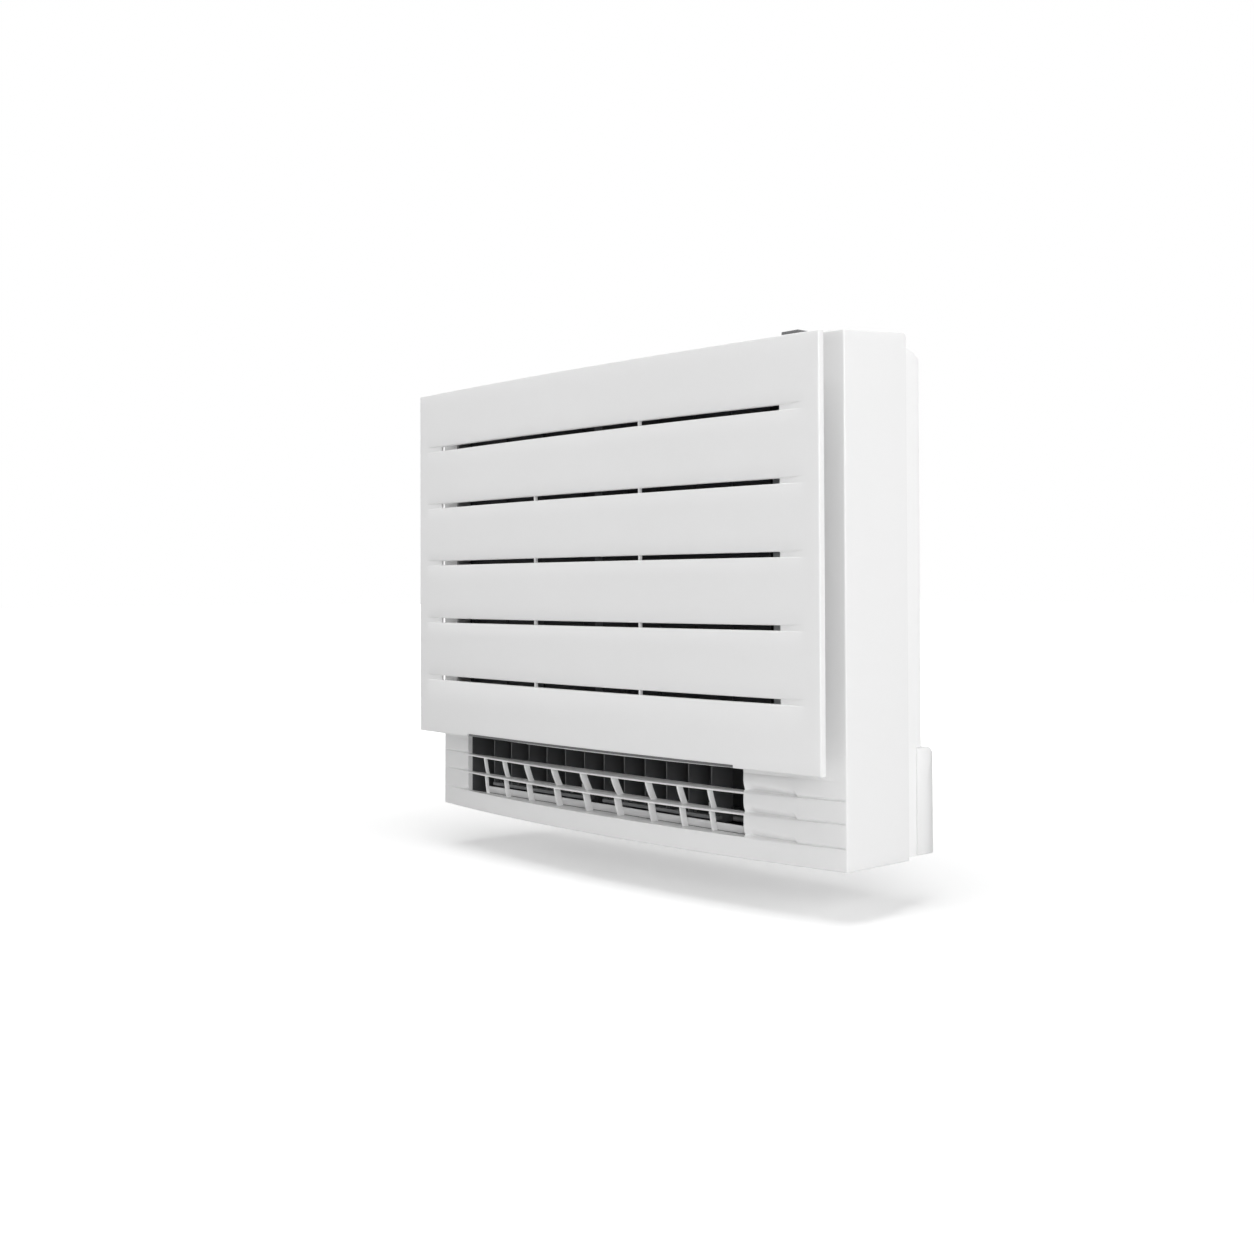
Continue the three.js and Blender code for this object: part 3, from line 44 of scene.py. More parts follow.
# The body.
HALF = 375.0
HEIGHT = 600.0
TOP_RISE, TOP_RUN = 8.0, 109.0
SIDE_BACK = 46.4
BACK_ROUND = 5.0
EDGE_Y = -62.6  # where the body's bowed front meets its sides
BULGE = 30.2
ROUND = 2.0  # of the body's upright corners and its top and bottom edges
CORNER_X = HALF - ROUND
CORNER_LEAN = 0.16
FIRST_X = 373.31665  # where the front's curve meets the corner's round
TURN_X = 366.0
MULLION = 6.0
MOUTH_LEFT, MOUTH_RIGHT = -303.0, 238.0
MOUTH_LOW, MOUTH_HIGH = 25.0, 103.0
MOUTH_BACK = -65.8
INTAKE_HALF, INTAKE_LOW, INTAKE_HIGH = 335.0, 138.0, 548.0
TOP_MOUTH_FRONT, TOP_MOUTH_BACK = -67.0, -20.0
TOP_ROW_FRONT = -57.0
FLAP_ENDS = (MOUTH_LEFT + 1, MOUTH_RIGHT - 1)

# The front panel.
PANEL_EDGE_Y = -105.2
PANEL_BULGE = 13.8
PANEL_LOW, PANEL_HIGH = 107.5, 586.0
PANEL_DEPTH, PANEL_ROUND = 8.0, 1.6
NOTCH_HALF, NOTCH, NOTCH_EASE = 252.0, 3.5, 0.3
SLOTS = 184.6 + 80.5 * np.arange(5)
SLOT_BELOW, SLOT_ABOVE = 2.3, 3.4
SLOT_LOW_ROUND, SLOT_HIGH_ROUND, SLOT_LIP = 1.6, 2.0, 2.6
SLOT_HALF, SLOT_DEPTH = 319.5, 5.5
GROOVE_END, GROOVE_DEPTH = 354.0, 2.4
SEAL = ((3.6, 0.7), (4.2, 0.2), (6.9, 0.2), (6.9, 5), (3.6, 5))  # behind the face, above the low edge
TIE_X, HINGE_X, CATCH_X = 100, 250, 322.5
HINGE_Z = (114, 126)

# The ledges beside the outlet, and the crease over each of them.
LEDGES = (24.6, 51.3, 76.6, 98.6)
KINK_X = 307.0
KINK = KINK_X - MOUTH_RIGHT
RIGHT_CREASE = ((-0.1, 0), (0, 2.6), (4, 6.5), (9, 9), (KINK, 5.6), (KINK + 3, 2.8), (128, 2.4),
                (133, 1.8), (135.3, 0))  # how far out from the mouth, how deep
LEFT_CREASE = ((-0.1, 0), (0, 1.6), (4, 4.4), (9, 5.5), (27, 2.0), (63, 1.3), (68, 0.9), (70.3, 0))
REACH = ((MOUTH_RIGHT, 14.6), (KINK_X, 8.6), (KINK_X + 3, 4.6), (370, 4.2))  # from the middle, height
LIP = ((6, 0), (4, 0.02), (2.4, 0.05), (1.2, 0.09), (0.5, 0.14))  # how far below a ledge, share of depth
LIP_TOP = 0.22
FOOT_LIP = 0.32
SLOPE = ((0.10, 0.62), (0.17, 0.95), (0.21, 1.0), (0.28, 0.93), (0.38, 0.7), (0.5, 0.44), (0.66, 0.22),
         (0.84, 0.07), (1, 0))  # above a ledge: share of its reach, share of its depth

# The outlet guard.
GUARD_HALF = 270.5
GUARD_MIDDLE = MOUTH_RIGHT - GUARD_HALF - 6
RIB_SHARES = np.array([0, 0.222, 0.447, 0.643, 0.821])
BAR_HALF, RIB_HALF = 1.25, 1.1

# The rear casing.
CASING_HALF, CASING_Y, CASING_DEPTH = 360, 92, 45.6
STEP_X, STEP_Y, STEP_TOP = 321.7, 79.7, 124.3
SPINE_HALF, SPINE_RISE = 300.0, 23
FLANGE_HALF, FLANGE_Y = 371.7, (43.4, 46.2)

# The display and its button.
DISPLAY_X, DISPLAY_FRONT, DISPLAY_Z = (314.0, 338.0), -96.0, (577, 592)
BUTTON_X, BUTTON_Y = 326.0, -87.0
BUTTON = ((0, 590), (3.7, 590), (4, 590.4), (4, 592.9), (3.5, 593.6), (2.2, 593.3), (0, 593.1))
WELL = ((5.1, 592), (4.6, 592), (4.3, 591.7), (4.25, 591.3), (4.25, 588.2))

# The floor and the light, in metres.
FLOOR_Z = -0.06
FLOOR_GLOW, FAR_GLOW = 0.36, 1.2
GLOW_FROM, GLOW_TO = 0.55, 2.2
SKY = 0.2


def body_front(x):
    """Depth of the body's bowed front: a parabola, furthest forward in the middle."""
    return EDGE_Y - BULGE * (1 - (x / HALF) ** 2)


def panel_front(x):
    """Depth of the front panel: a flatter parabola ahead of the body's."""
    return PANEL_EDGE_Y - PANEL_BULGE * (1 - (x / HALF) ** 2)


def top_height(y):
    """The top climbs steadily towards the back edge, and a quarter circle rounds it there."""
    past = np.clip(np.asarray(y, float) - SIDE_BACK + BACK_ROUND, 0, BACK_ROUND)
    climb = HEIGHT + TOP_RISE * (y - SIDE_BACK) / TOP_RUN
    return climb - BACK_ROUND + np.sqrt(BACK_ROUND ** 2 - past ** 2)


# ---- surfaces ----
def sheet(x, y, z, keep=None, flip=False):
    """A grid surface: x, y and z are arrays over rows and columns, and keep marks the cells that stay."""
    x, y, z = np.broadcast_arrays(x, y, z)
    index = np.arange(x.size).reshape(x.shape)
    quads = np.stack([index[:-1, :-1], index[:-1, 1:], index[1:, 1:], index[1:, :-1]], -1)
    if flip:
        quads = quads[..., ::-1]
    quads = quads.reshape(-1, 4) if keep is None else quads[keep]
    return np.stack([x, y, z], -1).reshape(-1, 3), quads


def loft(loops, flip=False):
    """Closed loops, an array of (sections, points, 3), joined in turn. Each end closes on its middle."""
    ends = np.repeat(loops[[0, -1]].mean(1, keepdims=True), loops.shape[1], 1)
    rows = np.concatenate([ends[:1], loops, ends[1:]])
    rows = np.concatenate([rows, rows[:, :1]], 1)
    return sheet(rows[..., 0], rows[..., 1], rows[..., 2], flip=flip)


def signed_area(outline):
    """Area of an outline, positive where its points run anticlockwise."""
    a, b = outline[:, 0], outline[:, 1]
    return 0.5 * np.sum(a * np.roll(b, -1) - b * np.roll(a, -1))


def along_x(outline, x0, x1, ease=0.0):
    """An outline of (y, z) points carried from x0 to x1; its ends shrink by ease over a quarter circle."""
    outline = np.asarray(outline, float)
    middle = outline.mean(0)
    turn = np.linspace(0, math.pi / 2, 4) if ease else np.zeros(1)
    inset = ease * (1 - np.sin(turn))
    x = np.concatenate([x0 + ease * (1 - np.cos(turn)), x1 - ease * (1 - np.cos(turn[::-1]))])
    inset = np.concatenate([inset, inset[::-1]])
    half = np.abs(outline - middle).max(0)
    scale = 1 - inset[:, None] / half
    points = middle + (outline - middle)[None] * scale[:, None]
    loops = np.concatenate([np.broadcast_to(x[:, None, None], points.shape[:2] + (1,)), points], -1)
    return loft(loops, flip=signed_area(outline) < 0)


def block(x0, x1, y0, y1, z0, z1):
    """A four-cornered outline carried along X."""
    return along_x([(y0, z0), (y1, z0), (y1, z1), (y0, z1)], x0, x1)


def slab(x, half, *sides):
    """A block that reaches half its width to each side of x."""
    return block(x - half, x + half, *sides)


def round_x(radius, y, z, x0, x1):
    """A circle about the X axis carried from x0 to x1, as for a pin."""
    a = np.linspace(0, 2 * math.pi, 24, endpoint=False)
    circle = np.stack([y + radius * np.cos(a), z + radius * np.sin(a)], 1)
    return along_x(circle, x0, x1, min(0.3, radius / 4))


def turned(profile, x, y):
    """A profile of (radius, height) points turned about the upright line through x and y."""
    radius, height = np.array(profile, float).T[..., None]
    a = np.linspace(0, 2 * math.pi, 41)
    a[-1] = 0
    return sheet(x + radius * np.cos(a), y + radius * np.sin(a), height + 0 * a)


def arc(radius):
    """A quarter circle from the side to the front: how far along, and how far back."""
    a = np.linspace(0, math.pi / 2, 5)
    return radius * (1 - np.cos(a)), radius * (1 - np.sin(a))


def fill(keys, step):
    """The keys, with evenly spaced values between them, no further apart than step."""
    counts = [max(1, math.ceil((b - a) / step)) for a, b in zip(keys, keys[1:])]
    runs = [np.linspace(a, b, n + 1)[:-1] for a, b, n in zip(keys, keys[1:], counts)]
    return np.concatenate(runs + [keys[-1:]])


def between(x, table):
    """Straight lines between a table's pairs."""
    return np.interp(x, *np.array(table).T)


def tray_rim(across, up, deepest):
    """Drop back at a tray's edges: the cube root of both directions' cubes added up, at most deepest."""
    return np.minimum((across[None] ** 3 + up[:, None] ** 3) ** (1 / 3), deepest)


def make(name, parts, paint, body, nodes=(), wall=0.0, soft=0.0, crease=34):
    """Joins grid surfaces into one welded mesh, gives it a wall and soft edges, and sets it on its body."""
    start = np.cumsum([0] + [len(p) for p, _ in parts])
    points = np.concatenate([p for p, _ in parts])
    quads = np.concatenate([q + s for (_, q), s in zip(parts, start)])
    cells = np.round(points / WELD).astype(np.int64)
    _, first, which = np.unique(cells, axis=0, return_index=True, return_inverse=True)
    quads = which.reshape(-1)[quads]
    fresh = quads != np.roll(quads, 1, axis=1)
    folded = (quads[:, 0] == quads[:, 2]) | (quads[:, 1] == quads[:, 3])
    whole = (fresh.sum(1) >= 3) & ~folded
    quads, fresh = quads[whole], fresh[whole]
    total = fresh.sum(1)
    mesh = bpy.data.meshes.new(name)
    used, loops = np.unique(quads[fresh], return_inverse=True)
    mesh.vertices.add(len(used))
    mesh.vertices.foreach_set("co", (points[first][used] * MM).astype(np.float32).ravel())
    mesh.loops.add(len(loops))
    mesh.loops.foreach_set("vertex_index", loops.astype(np.int32))
    mesh.polygons.add(len(total))
    starts = np.concatenate([[0], np.cumsum(total)[:-1]])
    mesh.polygons.foreach_set("loop_start", starts.astype(np.int32))
    mesh.update(calc_edges=True)
    mesh.validate()
    obj = bpy.data.objects.new(name, mesh)
    bpy.context.scene.collection.objects.link(obj)
    if wall:
        rind = obj.modifiers.new("wall", "SOLIDIFY")
        rind.thickness = wall * MM
        rind.offset = -1
    if soft:
        edge = obj.modifiers.new("soft", "BEVEL")
        edge.width = soft * MM
        edge.segments = 2
        edge.limit_method = "ANGLE"
        edge.angle_limit = math.radians(45)
        edge.use_clamp_overlap = True
    if wall or soft:
        graph = bpy.context.evaluated_depsgraph_get()
        finished = bpy.data.meshes.new_from_object(obj.evaluated_get(graph))
        obj.modifiers.clear()
        obj.data = finished
        finished.name = name
    obj.data.shade_smooth()
    obj.data.set_sharp_from_angle(angle=math.radians(crease))
    obj.data.materials.clear()
    obj.data.materials.append(paint)
    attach(obj, body)
    if nodes:
        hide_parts(*nodes)
    return obj


# ---- finishes ----
class Wire:
    """One value in a finish; sums and products of wires add Math nodes."""

    def __init__(self, finish, socket):
        self.finish = finish
        self.socket = socket

    def math(self, operation, *values):
        return self.finish.node("Math", {"operation": operation}, dict(enumerate(values)))

    def __add__(self, other):
        return self.math("ADD", self, other)

    def __mul__(self, other):
        return self.math("MULTIPLY", self, other)

    def __sub__(self, other):
        return self.math("SUBTRACT", self, other)

    def __rsub__(self, other):
        return self.math("SUBTRACT", other, self)

    def __gt__(self, other):
        return self.math("GREATER_THAN", self, other)

    __radd__ = __add__
    __rmul__ = __mul__


class Finish:
    """A procedural finish in Object coordinates, which are metres."""

    def __init__(self, name):
        self.material = bpy.data.materials.new(name)
        self.material.use_nodes = True
        self.tree = self.material.node_tree
        self.tree.nodes.clear()
        self.place = self.node("TexCoord", out="Object")

    def node(self, kind, settings=None, values=None, out=0):
        node = self.tree.nodes.new("ShaderNode" + kind)
        for key, value in (settings or {}).items():
            setattr(node, key, value)
        for key, value in (values or {}).items():
            if isinstance(value, Wire):
                self.tree.links.new(value.socket, node.inputs[key])
            else:
                node.inputs[key].default_value = value
        return Wire(self, node.outputs[out])

    def noise(self, scale, detail, stretch=(1, 1, 1)):
        place = self.node("Mapping", {}, {"Vector": self.place, "Scale": stretch})
        return self.node("TexNoise", {}, {"Vector": place, "Scale": scale, "Detail": detail})

    def axis(self, name):
        return self.node("SeparateXYZ", {}, {"Vector": self.place}, out=name)

    def mix(self, factor, a, b):
        """A colour mix; 6, 7 and 2 are the Mix node's colour sockets."""
        return self.node("Mix", {"data_type": "RGBA"}, {0: factor, 6: tint(a), 7: tint(b)}, out=2)

    def bump(self, height, strength, distance):
        return self.node("Bump", {}, {"Height": height, "Strength": strength, "Distance": distance})

    def close(self, colour, roughness, bump, metallic=0.0):
        values = {"Base Color": colour, "Roughness": roughness, "Normal": bump, "Metallic": metallic}
        self.output(self.node("BsdfPrincipled", {}, values))
        return self.material

    def output(self, surface):
        out = self.tree.nodes.new("ShaderNodeOutputMaterial")
        self.tree.links.new(surface.socket, out.inputs["Surface"])


def tint(value):
    """A grey level or a colour as four numbers; a wire stays as it is."""
    if isinstance(value, Wire):
        return value
    if isinstance(value, (int, float)):
        return (value, value, value, 1.0)
    return (*value, 1.0)


def moulded(name, colour, shade, grain=0.10, low=0.36, high=0.46, pitch=1500):
    """Moulded plastic: a fine spark-eroded grain, and a faint broad unevenness in colour and gloss."""
    f = Finish(name)
    broad = f.noise(5, 3)
    fine = f.noise(pitch, 2)
    colour = f.mix(broad, colour, shade)
    roughness = low + (high - low) * broad + (fine - 0.5) * 0.06
    return f.close(colour, roughness, f.bump(fine, grain, 0.0002))


def metal(name, colour, shade, low, high, stretch):
    """Drawn or rolled metal: streaks along one direction in tone, gloss and surface."""
    f = Finish(name)
    streak = f.noise(400, 3, stretch)
    patch = f.noise(30, 3)
    colour = f.mix(streak * 0.6 + patch * 0.4, colour, shade)
    return f.close(colour, low + (high - low) * streak, f.bump(streak, 0.12, 0.0003), 1.0)


VANE_TONES = (0.085, 0.087, 0.090), (0.115, 0.117, 0.12)
HOOK_BACK = -0.0619
HOOK_WHITE = 0.8


def hooked():
    """The two vanes that are moved by hand: dark blades, with a white hook ahead of the leading edge."""
    f = Finish("vane_plastic_hooked")
    fine = f.noise(1500, 2)
    ahead = HOOK_BACK - f.axis("Y") > 0
    colour = f.mix(ahead, f.mix(f.noise(5, 3), *VANE_TONES), HOOK_WHITE)
    return f.close(colour, 0.38 + 0.12 * fine, f.bump(fine, 0.2, 0.0002))


def ripple(f, name, per_metre):
    """A wave along one axis that rises evenly from 0 to 1 and falls again, per_metre times in a metre."""
    along = f.axis(name) * per_metre
    part = along.math("FRACT", along)
    return part.math("PINGPONG", part, 0.5) * 2


def finned():
    """Coil fins: thin upright aluminium edges 1.6 mm apart, with painted shade in the dark gaps between."""
    f = Finish("aluminium_fins")
    edge = ripple(f, "X", 625)
    # Painted shade: the gaps between the fins are coloured dark for the shade that falls in them.
    colour = f.mix(edge > 0.45, (0.09, 0.095, 0.1), (0.62, 0.64, 0.66))
    return f.close(colour, 0.34 + 0.2 * f.noise(60, 2), f.bump(edge, 0.5, 0.0006), 0.8)


def netted():
    """Filter net in painted shade: fine dark threads crossing every 1.8 mm on a darker ground; the net is
    coloured near-black for the shade inside the intake, and the ground between the threads darker still for
    the deeper shade behind it.
    """
    f = Finish("net_painted_shade")
    threads = [ripple(f, name, 555) for name in ("X", "Z")]
    weave = threads[0].math("MAXIMUM", *threads)
    # Painted shade: both tones stand for the shade inside the intake behind the panel.
    colour = f.mix(weave > 0.7, (0.012, 0.012, 0.013), (0.055, 0.056, 0.06))
    return f.close(colour, 0.7 - 0.2 * weave, f.bump(weave, 0.6, 0.0004))


def boarded():
    """Circuit board: green lacquer over copper tracks and pads."""
    f = Finish("green_board")
    values = {"Vector": f.place, "Scale": 160.0}
    cells = f.node("TexVoronoi", {"distance": "MANHATTAN"}, values, out="Distance")
    colour = f.mix(cells > 0.52, (0.012, 0.10, 0.045), (0.05, 0.2, 0.09))
    return f.close(colour, 0.3 + 0.2 * f.noise(80, 2), f.bump(cells, 0.25, 0.0003))


WHITE = moulded("white_plastic", 0.865, 0.845)
PANEL_WHITE = moulded("panel_white", 0.862, 0.846, grain=0.05, low=0.30, high=0.36)
# Painted light: the rear casing is the body's white plastic, given a brighter white (0.93 against 0.865) to
# stand for the extra light it gets.
BACK_PAINTED_LIGHT = moulded("back_plastic_painted_light", 0.93, 0.91, grain=0.2, low=0.45, high=0.6, pitch=900)
INNER = moulded("inner_plastic", 0.42, 0.36, grain=0.15, low=0.45, high=0.6)
DARK = moulded("dark_plastic", (0.075, 0.077, 0.080), (0.10, 0.102, 0.105),
               grain=0.25, low=0.42, high=0.6, pitch=900)
VANE_DARK = moulded("vane_plastic", *VANE_TONES, grain=0.2, low=0.38, high=0.5)
GREY = moulded("grey_plastic", (0.16, 0.165, 0.17), (0.20, 0.205, 0.21), grain=0.15, low=0.4, high=0.5)
SEAL_GREY = moulded("seal_strip", (0.13, 0.132, 0.135), (0.17, 0.172, 0.175),
                    grain=0.2, low=0.5, high=0.6)
TAB_GREY = moulded("display_smoke", (0.14, 0.142, 0.145), (0.18, 0.182, 0.185),
                   grain=0.04, low=0.16, high=0.24)
STEEL = metal("zinc_steel", (0.55, 0.56, 0.57), (0.42, 0.43, 0.44), 0.3, 0.5, (1, 1, 0.05))
COPPER = metal("copper_tube", (0.72, 0.35, 0.20), (0.55, 0.25, 0.13), 0.22, 0.42, (1, 1, 0.1))
BRASS = metal("brass_nut", (0.70, 0.50, 0.22), (0.58, 0.40, 0.16), 0.2, 0.36, (1, 0.2, 1))
HOOK_DARK = hooked()
FINS = finned()
NET_IN_PAINTED_SHADE = netted()
BOARD = boarded()
CARBON = moulded("carbon_filter", (0.014, 0.014, 0.015), (0.03, 0.03, 0.032),
                 grain=0.6, low=0.6, high=0.8, pitch=500)


# ---- front panel ----
def panel_columns():
    """Across the panel: place, drop back at the rounded edges, slot depth allowed, and whether a point is
    within the slots and within the notch."""
    edge, drop = arc(PANEL_ROUND)
    outer = np.concatenate([[0.0], edge])
    back = np.concatenate([[PANEL_DEPTH], drop])
    end = fill(np.array([-HALF + PANEL_ROUND, -GROOVE_END, -SLOT_HALF]), 5)[1:]
    near = fill(np.array([-SLOT_HALF, -NOTCH_HALF - NOTCH_EASE]), 8)
    middle = fill(np.array([-NOTCH_HALF, 0.0, NOTCH_HALF]), 8)
    left = np.concatenate([-HALF + outer, end])
    x = np.concatenate([left, near, middle, -near[::-1], -left[::-1]])
    fall = np.concatenate([back, np.zeros(len(x) - 2 * len(outer)), back[::-1]])
    inside = np.zeros(len(x), bool)
    inside[len(left):-len(left)] = True
    notched = np.zeros(len(x), bool)
    notched[len(left) + len(near):-len(left) - len(near)] = True
    groove = GROOVE_DEPTH * np.clip((GROOVE_END - np.abs(x)) / (GROOVE_END - SLOT_HALF), 0, 1)
    return x, fall, np.where(inside, SLOT_DEPTH, groove), inside, notched


def panel_rows():
    """Up the panel: height, drop back at the rounded edges, slot profile, share of the notch, and 1 or 2 on
    the rows just below and above a slot's opening."""
    def row(z, drop=0, slot=0, notch=0, bound=0):
        return z, drop, slot, notch, bound

    edge, drop = arc(PANEL_ROUND)
    turn = np.linspace(0, math.pi / 2, 6)
    rows = [row(PANEL_LOW, PANEL_DEPTH, notch=1)]
    rows += [row(PANEL_LOW + e, d, notch=1) for e, d in zip(edge, drop)]
    rows += [row(PANEL_LOW + 9), row(PANEL_LOW + 40)]
    for s in SLOTS:
        low, high = s - SLOT_BELOW, s + SLOT_ABOVE
        rows += [row(low - SLOT_LOW_ROUND + SLOT_LOW_ROUND * math.sin(t),
                     slot=SLOT_LIP * (1 - math.cos(t))) for t in turn]
        rows += [row(low, slot=SLOT_DEPTH, bound=1), row(high, slot=SLOT_DEPTH, bound=2)]
        rows += [row(high + SLOT_HIGH_ROUND - SLOT_HIGH_ROUND * math.sin(t),
                     slot=SLOT_LIP * (1 - math.cos(t))) for t in turn[::-1]]
        rows += [row(s + 20), row(s + 40), row(s + 60)]
    rows += [row(PANEL_HIGH - e, d) for e, d in zip(edge[::-1], drop[::-1])]
    rows += [row(PANEL_HIGH, PANEL_DEPTH)]
    return np.array(rows, float).T


def front_panel():
    """A bowed tray: the parabola, plus the larger of the rim's drop and the slot's profile, which fades past
    the slot's ends into a shallow groove. A seal strip and ribs sit behind it."""
    x, fall, depth, inside, notched = panel_columns()
    z, drop, slot, notch, bound = panel_rows()
    rim = tray_rim(fall, drop, PANEL_DEPTH)
    y = panel_front(x)[None] + np.maximum(rim, np.minimum(slot[:, None], depth[None]))
    height = z[:, None] + NOTCH * notch[:, None] * notched[None]
    gap = (bound[:-1] == 1) & (bound[1:] == 2)
    keep = ~(gap[:, None] & (inside[:-1] & inside[1:])[None])
    make("front_panel_skin", [sheet(x[None], y, height, keep)], PANEL_WHITE, "panel", ["front_panel"],
         wall=2.2, crease=40)
    x = fill(np.array([-NOTCH_HALF, NOTCH_HALF]), 12)
    loops = [np.stack([x, panel_front(x) + back, PANEL_LOW + up + 0 * x], -1) for back, up in SEAL]
    make("front_panel_seal", [loft(np.stack(loops, 1))], SEAL_GREY, "panel",
         crease=50)
    parts = []
    for side, top in ((-1, SLOTS[-1] - 10), (1, PANEL_HIGH - 3)):
        tie, arm, catch = side * TIE_X, side * HINGE_X, side * CATCH_X
        parts.append(slab(tie, 1.25, panel_front(tie) + 3.2, panel_front(tie) + 8, PANEL_LOW + 6, top))
        parts.append(slab(arm, 4, panel_front(arm) + 2, -86.5, *HINGE_Z))
        front = panel_front(catch) + 2
        parts.append(slab(catch, 1.5, front, -72, 556, 559))
        parts.append(slab(catch, 1.5, front, -72, 573, 576))
        parts.append(slab(catch, 1.5, front, -83, 556.5, 575.5))
        parts.append(slab(catch, 1.5, -74, -72, 556.5, 575.5))
    make("front_panel_ribs", parts, PANEL_WHITE, "panel", soft=0.4)


# ---- front grille ----
def ledge_depth(x, inside):
    """Depth of the creases beside the outlet: they deepen over the first 9 mm out from it, then grow
    shallower, with a step at the kink on the right, and end at the corner. There are none across it."""
    right = between(x - MOUTH_RIGHT, RIGHT_CREASE)
    left = between(MOUTH_LEFT - x, LEFT_CREASE)
    return np.where(inside, 0.0, np.maximum(right, left))


CORNER_Y = float(body_front(FIRST_X)) + ROUND / math.hypot(1, 2 * BULGE * FIRST_X / HALF ** 2)
SIDE_ROWS = np.concatenate([[CORNER_Y, TOP_ROW_FRONT],
                            fill(np.array([TOP_ROW_FRONT, TOP_MOUTH_BACK, SIDE_BACK - BACK_ROUND]), 9)[1:],
                            SIDE_BACK - BACK_ROUND * (1 - np.sin(np.linspace(0, math.pi / 2, 7)[1:]))])
MIDDLE_ROWS = np.interp(SIDE_ROWS, [CORNER_Y, TOP_ROW_FRONT, TOP_MOUTH_BACK, SIDE_BACK],
                        [-90.0, TOP_MOUTH_FRONT, TOP_MOUTH_BACK, SIDE_BACK])


def grille_path():
    """The body's outline from above, from the left side's back edge round the front to the right side's:
    places, outward directions, whether a point lies across the outlet, and how many come before the front."""
    turn = np.linspace(math.pi, 1.5 * math.pi - CORNER_LEAN, 6)[1:-1]
    left = fill(np.array([-FIRST_X, -TURN_X, -INTAKE_HALF, -330.0, MOUTH_LEFT - 9, MOUTH_LEFT - 4,
                          MOUTH_LEFT]), 5)
    mouth = fill(np.array([MOUTH_LEFT, -MULLION, MULLION, MOUTH_RIGHT]), 9)
    right = fill(np.array([MOUTH_RIGHT, MOUTH_RIGHT + 4, MOUTH_RIGHT + 9, KINK_X, KINK_X + 3, INTAKE_HALF,
                           TURN_X, FIRST_X]), 5)
    front_x = np.concatenate([left, mouth, right])
    slope = 2 * BULGE * front_x / HALF ** 2
    size = np.hypot(1, slope)
    side = np.ones(len(SIDE_ROWS))
    across, ahead = np.cos(turn), np.sin(turn)
    px = [-HALF * side, ROUND * across - CORNER_X, front_x, CORNER_X - ROUND * across[::-1], HALF * side]
    py = [SIDE_ROWS[::-1], CORNER_Y + ROUND * ahead, body_front(front_x), CORNER_Y + ROUND * ahead[::-1],
          SIDE_ROWS]
    nx = [-side, across, slope / size, -across[::-1], side]
    ny = [0 * side, ahead, -1 / size, ahead[::-1], 0 * side]
    skip = len(side) + len(turn)
    inside = np.zeros(2 * skip + len(front_x), bool)
    inside[skip + len(left):skip + len(left) + len(mouth)] = True
    return (*map(np.concatenate, (px, py, nx, ny)), inside, skip)


def grille_rows():
    """Up the body: height, share of the ledge's reach, share of its depth, inset at the rounded edges, mouth
    rows, and share of the top's slope."""
    def row(z, reach=0, deep=0, inset=0, mouth=0, slope=0):
        return z, reach, deep, inset, mouth, slope

    edge, drop = arc(ROUND)
    first, second, third, last = LEDGES
    rows = [row(e, inset=d) for e, d in zip(edge, drop)] + [row(12)]
    rows += [row(first - low, deep=share) for low, share in LIP] + [row(first, deep=LIP_TOP)]
    rows += [row(MOUTH_LOW, deep=FOOT_LIP), row(MOUTH_LOW, deep=FOOT_LIP, mouth=1)]
    rows += [row(first, reach, share, mouth=1) for reach, share in SLOPE]
    for ledge in (second, third):
        rows += [row(ledge - low, deep=share, mouth=1) for low, share in LIP]
        rows += [row(ledge, deep=LIP_TOP, mouth=1)]
        rows += [row(ledge, reach, share, mouth=1) for reach, share in SLOPE]
    rows += [row(last - low, deep=share, mouth=1) for low, share in LIP[1:]]
    rows += [row(last, deep=0.16, mouth=1), row(last, 0.2, mouth=1)]
    rows += [row(MOUTH_HIGH, mouth=1), row(MOUTH_HIGH)]
    rows += [row(z) for z in fill(np.array([INTAKE_LOW, INTAKE_HIGH]), 60)]
    rows += [row(556, slope=0.05), row(590, slope=1)]
    rows += [row(HEIGHT - e, inset=d, slope=1) for e, d in zip(edge[::-1], drop[::-1])]
    return np.array(rows, float).T


